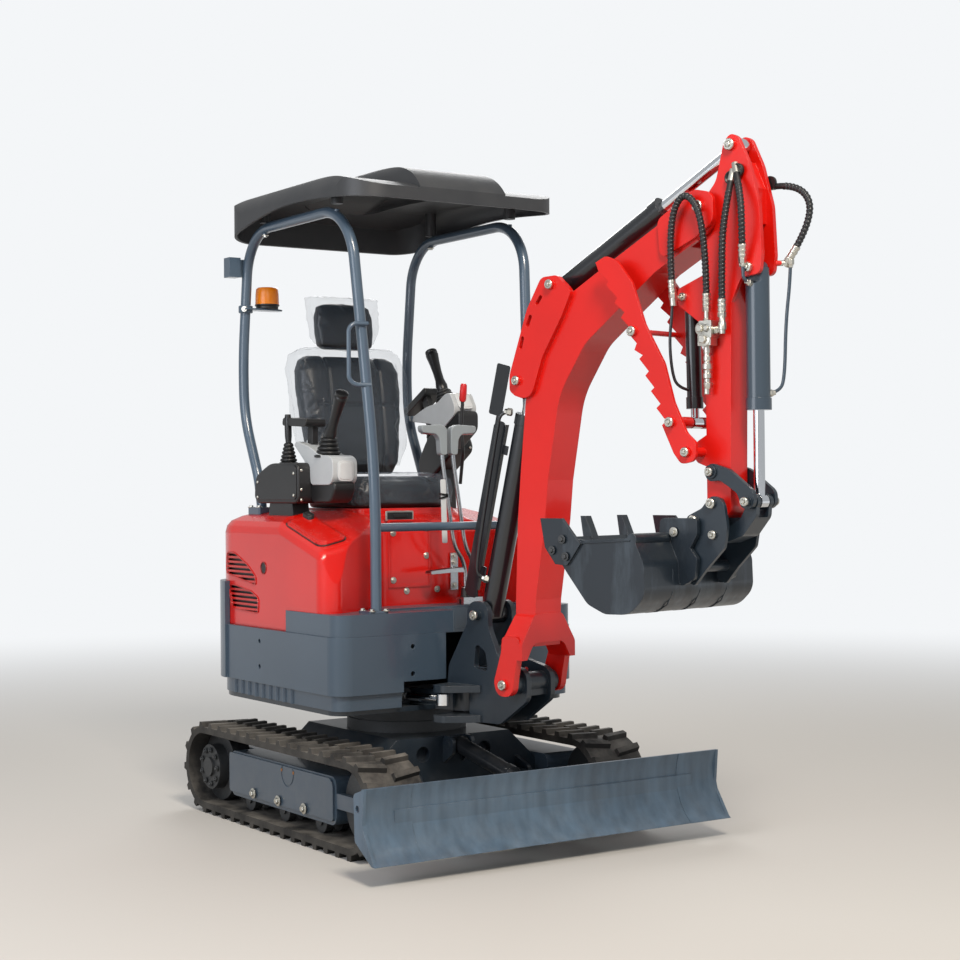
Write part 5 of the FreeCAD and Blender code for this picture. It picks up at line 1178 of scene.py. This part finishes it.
# %% Travel lever grips
bm = bmesh.new()
for y, way in ((-0.002, -1), (0.041, 1)):
    front_plate(bm, 0.227, [(y + way * a, b) for a, b in
                            ((-0.014, 1.246), (0.012, 1.246), (0.016, 1.300), (0.030, 1.316),
                             (0.084, 1.320), (0.088, 1.344), (0.010, 1.348), (-0.014, 1.336))],
                0.010, 0.030)
piece("travel_lever_grips", bm, lever_plastic, "upper", "grey_metal", bevel=0.007, steps=4)
bm = bmesh.new()
front_plate(bm, 0.252, [(-0.010, 0.952), (0.010, 0.952), (0.004, 1.165), (-0.016, 1.165)],
            0.006, 0.004)
piece("lever_lock_bar", bm, panel_plastic, "upper", "grey_metal", bevel=0.001)
bm = bmesh.new()
for z, slope in ((1.100, 0.006), (1.114, -0.004)):
    frame_of(bm, [(-0.0150, z), (-0.0150, z + 0.004), (0.0090, z + slope + 0.004),
                  (0.0090, z + slope)],
             [(-0.0175, z - 0.001), (-0.0175, z + 0.005), (0.0115, z + slope + 0.005),
              (0.0115, z + slope - 0.001)], 0.012, lambda a, b, d: deck(0.248 + d, a, b))
    front_plate(bm, 0.2555, [(-0.0170, z), (0.0110, z + slope), (0.0110, z + slope + 0.004),
                             (-0.0170, z + 0.004)], 0, 0.0012)
piece("lever_zip_tie", bm, bellows_rubber, "upper", "black_plastic")
bm = bmesh.new()
for y in (0.116, 0.150):
    turned(bm, deck(0.200, y, 0.742), UP, [(0, 0.022), (0.016, 0.022), (0.024, 0.016),
                                           (0.052, 0.014), (0.060, 0.010)], 24)
piece("lever_boots", bm, bellows_rubber, "upper", "grey_metal")

# %% [markdown]
# ## Hose holes, valve block and couplers
# The hoses come out of the stick's top plates through rubber-edged holes. On the near side one
# feeds a zinc-plated valve block with cross plugs and an elbow, and a pair of quick couplers
# hangs under it for the thumb. All of these are turned parts, so profiles and a few plates
# make them.

# %% Valve block and couplers
bm = bmesh.new()
for s, n, z, way in ((1.100, -0.050, 2.012, -LEFT), (1.124, -0.050, 2.030, -LEFT),
                     (1.165, 0.050, 2.000, LEFT)):
    turned(bm, arm(s, n, z), way, [(-0.004, 0.020), (0.004, 0.020), (0.006, 0.017),
                                   (0.003, 0.013), (0.001, 0.012)], 24)
piece("hose_hole_grommets", bm, bellows_rubber, "stick", "hose_rubber")
bm = bmesh.new()
slab(bm, rounded(oblong(1.000, 1.046, 1.538, 1.604), 0.003), 0.034,
     lambda a, b, d: arm(a, -0.080 + d, b))
piece("thumb_valve_block", bm, zinc, "stick", "grey_metal", bevel=0.0015)
bm = bmesh.new()
for s, z, across in ((1.012, 1.588, 0.020), (1.034, 1.588, 0.014), (1.023, 1.556, 0.022)):
    hex_bolt(bm, arm(s, -0.080, z), -LEFT, across)
turned(bm, arm(1.046, -0.062, 1.580), ALONG, [(0, 0.009), (0.006, 0.009), (0.006, 0.0115),
                                             (0.018, 0.0115), (0.018, 0.008), (0.030, 0.008)], 6)
turned(bm, arm(1.075, -0.062, 1.570), UP, [(0, 0.0085), (0.012, 0.0085), (0.012, 0.0115),
                                          (0.030, 0.0115), (0.034, 0.009), (0.052, 0.009)], 20)
turned(bm, arm(1.020, -0.062, 1.602), UP, [(0, 0.0105), (0.014, 0.0105), (0.016, 0.008),
                                          (0.040, 0.008)], 6)
turned(bm, arm(1.022, -0.062, 1.540), -UP,
       [(0, 0.0085), (0.008, 0.0085), (0.008, 0.0115), (0.022, 0.0115), (0.023, 0.0085),
        (0.030, 0.0085), (0.031, 0.0125), (0.044, 0.0125), (0.046, 0.0105), (0.052, 0.0105),
        (0.053, 0.0145), (0.058, 0.0150), (0.068, 0.0150), (0.072, 0.0115), (0.080, 0.0115),
        (0.081, 0.0135), (0.094, 0.0135), (0.096, 0.0095), (0.106, 0.0095), (0.108, 0.0120),
        (0.120, 0.0110), (0.126, 0.0080)], 20)
piece("valve_fittings", bm, zinc, "stick", "grey_metal")

# %% [markdown]
# ## Steel pipes on the cylinders
# Where a hose would rub, the oil goes on in a bent steel pipe, which is painted with the
# cylinder. Each pipe has a union nut at the hose's end and runs into the barrel at the other.

# %% Pipes
PIPES = [
    ("thumb_pipe", "thumb_cylinder_barrel",
     [(0.912, -0.080, 1.690), (0.909, -0.079, 1.640), (0.896, -0.076, 1.560),
      (0.900, -0.070, 1.470), (0.908, -0.055, 1.425), (0.922, -0.020, 1.418)], 0.0045),
    ("bucket_pipe_near", "bucket_cylinder_barrel",
     [(1.146, -0.062, 1.776), (1.147, -0.062, 1.742), (1.149, -0.060, 1.716),
      (1.152, -0.030, 1.708)], 0.005),
    ("bucket_pipe_far", "bucket_cylinder_barrel",
     [(1.226, 0.058, 1.776), (1.226, 0.056, 1.720), (1.214, 0.050, 1.600),
      (1.212, 0.046, 1.450), (1.204, 0.036, 1.404), (1.175, 0.016, 1.398)], 0.005),
    ("boom_pipe", "boom_cylinder_barrel",
     [(0.236, -0.040, 1.375), (0.206, -0.058, 1.380), (0.190, -0.058, 1.320),
      (0.140, -0.058, 1.100), (0.096, -0.058, 0.900), (0.092, -0.052, 0.850),
      (0.120, -0.030, 0.840)], 0.006),
]
nuts = {}
for name, body, route, radius in PIPES:
    pipe = smooth_line(name, [arm(*p) for p in route], radius)
    pipe.data.materials.append(cylinder_blue if "bucket" in body else black_enamel)
    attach(pipe, body)
    bm = nuts.setdefault(body, bmesh.new())
    ends = [(route[0], route[1]), (route[-1], route[-2])]
    for first, second in ends[:1] if name == "thumb_pipe" else ends:
        way = arm(*second) - arm(*first)
        turned(bm, arm(*first) - way.normalized() * 0.004, way,
               [(0, radius * 1.5), (0.003, radius * 2.1), (0.016, radius * 2.1),
                (0.019, radius * 1.6), (0.026, radius * 1.4)], 6)
for body, bm in nuts.items():
    piece(body.replace("_barrel", "") + "_unions", bm, zinc, body, "grey_metal")

# %% [markdown]
# ## Hose guard beside the boom cylinder
# A folded steel guard shields the hoses between the seat and the boom cylinder. It is a thin
# channel, so it is drawn in the cylinder's own direction and given its sheet thickness.

# %% Boom cylinder guard
FOOT_PIN = arm(0.106, 0, 0.728)
CYLINDER = (arm(0.296, 0, 1.471) - FOOT_PIN).normalized()
BEHIND = (CYLINDER.cross(LEFT)).normalized()
if BEHIND.dot(ALONG) > 0:
    BEHIND = -BEHIND


def beside(reach, back, n):
    """A place along the boom cylinder, back towards the seat and n to the left."""
    return FOOT_PIN + CYLINDER * reach + BEHIND * back + LEFT * n


bm = bmesh.new()
slab(bm, rounded([(0.040, 0.046), (0.610, 0.046), (0.622, 0.060), (0.622, 0.092),
                  (0.600, 0.100), (0.060, 0.100), (0.040, 0.086)], 0.012), 0.003,
     lambda a, b, d: beside(a, b, -0.040 + d))
slab(bm, oblong(0.050, 0.605, -0.040, 0.030), 0.003, lambda a, b, d: beside(a, 0.097 + d, b))
slab(bm, rounded(oblong(0.635, 0.800, 0.070, 0.128), 0.008), 0.003,
     lambda a, b, d: beside(a, b, -0.044 + d))
for limits in ((0.560, 0.700, 0.086, 0.100), (0.120, 0.150, 0.025, 0.060),
               (0.520, 0.550, 0.025, 0.060)):
    slab(bm, oblong(*limits), 0.004, lambda a, b, d: beside(a, b, -0.0365 + d))
piece("boom_cylinder_guard", bm, black_enamel, "boom_cylinder_barrel", "cylinder_paint",
      bevel=0.001)

# %% [markdown]
# ## Engine hood trim
# Each vent has a red rim that stands a little proud of the sheet metal, and a black sheet
# behind its slats is painted shade for the dark engine bay. The filler lid lies on a rubber seal
# and has a black latch, and the round hole lets air in; a black plug in it is painted shade too.

# %% Hood trim
HOOD_Y = 0.459
VENTS = ([(-0.445, 0.915), (-0.393, 0.915), (-0.293, 0.875), (-0.232, 0.838), (-0.233, 0.810),
          (-0.450, 0.843)],
         [(-0.435, 0.801), (-0.391, 0.802), (-0.265, 0.785), (-0.213, 0.766), (-0.214, 0.715),
          (-0.408, 0.722)])


def grown(outline, reach):
    """The outline moved outward by a distance, about its middle."""
    middle = sum((Vector(p) for p in outline), Vector((0, 0))) / len(outline)
    return [tuple(Vector(p) + (Vector(p) - middle).normalized() * reach) for p in outline]


frames = bmesh.new()
dark = bmesh.new()
for side in (-1, 1):
    for outline in VENTS:
        hole = rounded(outline, 0.012, 5)
        frame_of(frames, hole, rounded(grown(outline, 0.007), 0.018, 5), 0.0025,
                 lambda a, b, d, side=side: deck(a, side * (HOOD_Y + d), b))
        # A black sheet behind the slats: painted shade for the dark engine bay.
        slab(dark, rounded(grown(outline, 0.004), 0.012, 5), 0.002,
             lambda a, b, d, side=side: deck(a, side * (HOOD_Y - 0.016 + d), b))
    turned(frames, deck(-0.170, side * HOOD_Y, 0.869), (0, side, 0),
           [(-0.012, 0.0172), (0.001, 0.0172), (0.0025, 0.0185), (0.0025, 0.021), (0, 0.022)], 32)
    # A black plug in the round hole: painted shade for its dark inside.
    turned(dark, deck(-0.170, side * (HOOD_Y + 0.0006), 0.869), (0, -side, 0),
           [(0, 0.0175), (0.010, 0.0171)], 32)
piece("vent_shade_backs", dark, bellows_rubber, "upper", "black_plastic")
piece("vent_frames", frames, hood_red, "upper", "red_paint")


SHOULDER = ((-0.130, 1.036), (0.222, 0.932))  # x and z of the edge's two ends
FALL = 0.23  # outward


def on_shoulder(x, y, lift=0.0):
    """A place on the hood's shoulder, which falls forward and outward."""
    (x0, z0), (x1, z1) = SHOULDER
    return deck(x, y, z0 - (z0 - z1) / (x1 - x0) * (x - x0) + FALL * (HOOD_Y + y) + lift)


def lid_outline(grow, corner):
    return rounded(oblong(-0.060, 0.190, -0.436, -0.335, grow), corner, 6)


bm = bmesh.new()
frame_of(bm, lid_outline(-0.006, 0.024), lid_outline(0.004, 0.034), 0.0045,
         lambda a, b, d: on_shoulder(a, b, d - 0.001))
piece("filler_lid_seal", bm, bellows_rubber, "upper", "black_plastic", bevel=0.0015)
bm = bmesh.new()
slab(bm, rounded([(-0.050, -0.374), (-0.010, -0.374), (-0.004, -0.361), (-0.010, -0.348),
                  (-0.050, -0.348)], 0.005), 0.015, lambda a, b, d: on_shoulder(a, b, 0.010 + d))
slab(bm, rounded(oblong(-0.044, -0.018, -0.368, -0.354), 0.004), 0.004,
     lambda a, b, d: on_shoulder(a, b, 0.0235 + d))
piece("filler_lid_latch", bm, black_plastic, "tank_lid", "black_plastic", bevel=0.0025)

# %% [markdown]
# ## Front panel
# Below the seat a service door closes the front: it has a black latch with a bright rim and
# zinc-plated bolts. Beside it stand the bracket of the foot lever and its rubber pad.

# %% Front panel trim
bm = bmesh.new()
front_plate(bm, 0.100, oblong(-0.140, -0.030, 1.026, 1.060), 0.006, 0.006)
piece("door_latch_rim", bm, zinc, "upper", "grey_metal", bevel=0.002)
bm = bmesh.new()
front_plate(bm, 0.104, oblong(-0.134, -0.036, 1.031, 1.055), 0.004, 0.004)
front_plate(bm, 0.107, oblong(-0.112, -0.058, 1.038, 1.049), 0.003, 0.008)
piece("door_latch", bm, black_plastic, "upper", "black_plastic", bevel=0.0015)
rows = [(deck(0.1055, y, z), (1, 0, 0), 0.012)
        for y, z in ((0.020, 0.906), (-0.112, 0.826), (-0.060, 0.788), (0.062, 0.790),
                     (-0.112, 0.985), (0.020, 1.000))]
hardware("door_bolts", "upper", "red_paint", rows)
rows = [(deck(0.115, 0.126, z), (1, 0, 0), 0.012) for z in (0.800, 0.880, 0.902)]
hardware("lever_bracket_bolts", "upper", "grey_metal", rows)
bm = bmesh.new()
front_plate(bm, 0.170, [(-0.024, 0.8473), (0.060, 0.8513), (0.112, 0.8513), (0.112, 0.8663),
                        (0.060, 0.8648), (-0.024, 0.8573)], 0.004, 0.034)
piece("foot_pedal", bm, bellows_rubber, "upper", "black_plastic", bevel=0.003)

# %% [markdown]
# ## Beacon
# The beacon's amber lens has upright ribs. It stands on a black foot with a gasket ring, and an
# arm holds both to the rear post with a clamp.

# %% Beacon
BEACON = deck(-0.515, -0.262, 1.778)
LENS_STEPS = 72
RIB_DEPTH = 0.0009
bm = bmesh.new()
profile = [(0.019, 0.041), (0.024, 0.0425), (0.060, 0.0415), (0.078, 0.0395), (0.0835, 0.034),
           (0.0845, 0.020)]
rings = []
for reach, radius in profile:
    ring = []
    for i in range(LENS_STEPS):
        angle = 2 * math.pi * i / LENS_STEPS
        rib = RIB_DEPTH * (i % 2) if radius > 0.035 else 0
        ring.append(bm.verts.new(BEACON + Vector((math.cos(angle) * (radius - rib),
                                                  math.sin(angle) * (radius - rib), reach))))
    rings.append(ring)
join_rings(bm, rings, capped=True)
piece("beacon_lens", bm, amber, "upper", "amber_lens", sharp=50)
bm = bmesh.new()
turned(bm, BEACON + UP * 0.006, UP, [(0, 0.036), (0.002, 0.040), (0.010, 0.040), (0.012, 0.044),
                                     (0.0165, 0.044), (0.018, 0.040)], 40)
piece("beacon_foot", bm, black_plastic, "upper", "black_plastic")
bm = bmesh.new()
slab(bm, rounded([(-0.543, -0.364), (-0.487, -0.364), (-0.487, -0.230), (-0.500, -0.206),
                  (-0.530, -0.206), (-0.543, -0.230)], 0.010), 0.006,
     lambda a, b, d: deck(a, b, 1.778 + d))
turned(bm, deck(-0.523, -0.344, 1.767), UP, [(0, 0.0235), (0.003, 0.0255), (0.024, 0.0255),
                                            (0.027, 0.0235)], 32)
arm_piece = piece("beacon_arm", bm, tube_blue, "upper", "blue_grey_paint", bevel=0.0015)
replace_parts(arm_piece, "beacon")
hardware("beacon_clamp_bolts", "upper", "grey_metal",
         [(deck(-0.498, -0.362, 1.780), (0.7, -0.7, 0), 0.011)])

# %% [markdown]
# ## Weld beads
# The plates are welded, and a bead is a row of small overlapping ripples. Each bead here is a
# bent rod whose radius swells and shrinks every 4 mm, laid along a plate's joint.

# %% Weld beads


def bead(bm, points, radius=0.0028, ripple=0.004):
    """A rippled bead through the points, half sunk in the joint."""
    for first, second in zip(points, points[1:]):
        way = second - first
        count = max(int(way.length / ripple), 2)
        profile = []
        for i in range(count * 3 + 1):
            t = i / (count * 3)
            swell_share = 0.82 + 0.18 * abs(math.sin(math.pi * i / 3))
            profile.append((way.length * t, radius * swell_share))
        turned(bm, first, way, profile, 8)


beads = {}
for sign in (-1, 1):
    bm = beads.setdefault("swing_post", bmesh.new())
    bead(bm, [arm(0.050, sign * 0.060, 0.560), arm(0.250, sign * 0.060, 0.560)])
SHELL = [(0.660, 0.886), (0.735, 0.804), (0.768, 0.783), (0.800, 0.773), (0.845, 0.7725),
         (0.888, 0.7775), (0.922, 0.797), (0.942, 0.832), (0.944, 0.900)]
bm = beads.setdefault("bucket", bmesh.new())
for n in (-0.130, 0.0, 0.130):
    bead(bm, [arm(s, n, z) for s, z in SHELL], 0.0022)
for sign in (-1, 1):
    bead(bm, [arm(0.668, sign * 0.2625, 0.972), arm(0.895, sign * 0.2625, 0.984)], 0.0024)
    bead(bm, [arm(0.880, sign * 0.102, 0.870), arm(0.950, sign * 0.102, 0.856)], 0.0024)
for body, bm in beads.items():
    piece(body + "_welds", bm, ink_blue_and_shade, body, "dark_paint")

# %% [markdown]
# ## Grease points
# Every pivot has a grease nipple, and here each still wears its orange-red plastic cap.

# %% Grease caps
CAPS = {"swing_post": [(arm(0.055, -0.030, 0.612), UP), (arm(0.255, 0.0, 0.548), UP)],
        "boom": [(arm(0.300, 0.0, 1.515), UP)]}
for body, rows in CAPS.items():
    bm = bmesh.new()
    for base, way in rows:
        turned(bm, base, way, [(-0.004, 0.004), (0.004, 0.0045), (0.006, 0.0062),
                               (0.014, 0.0062), (0.018, 0.0040)], 14)
    piece(body + "_grease_caps", bm, red_plastic, body, "red_paint")
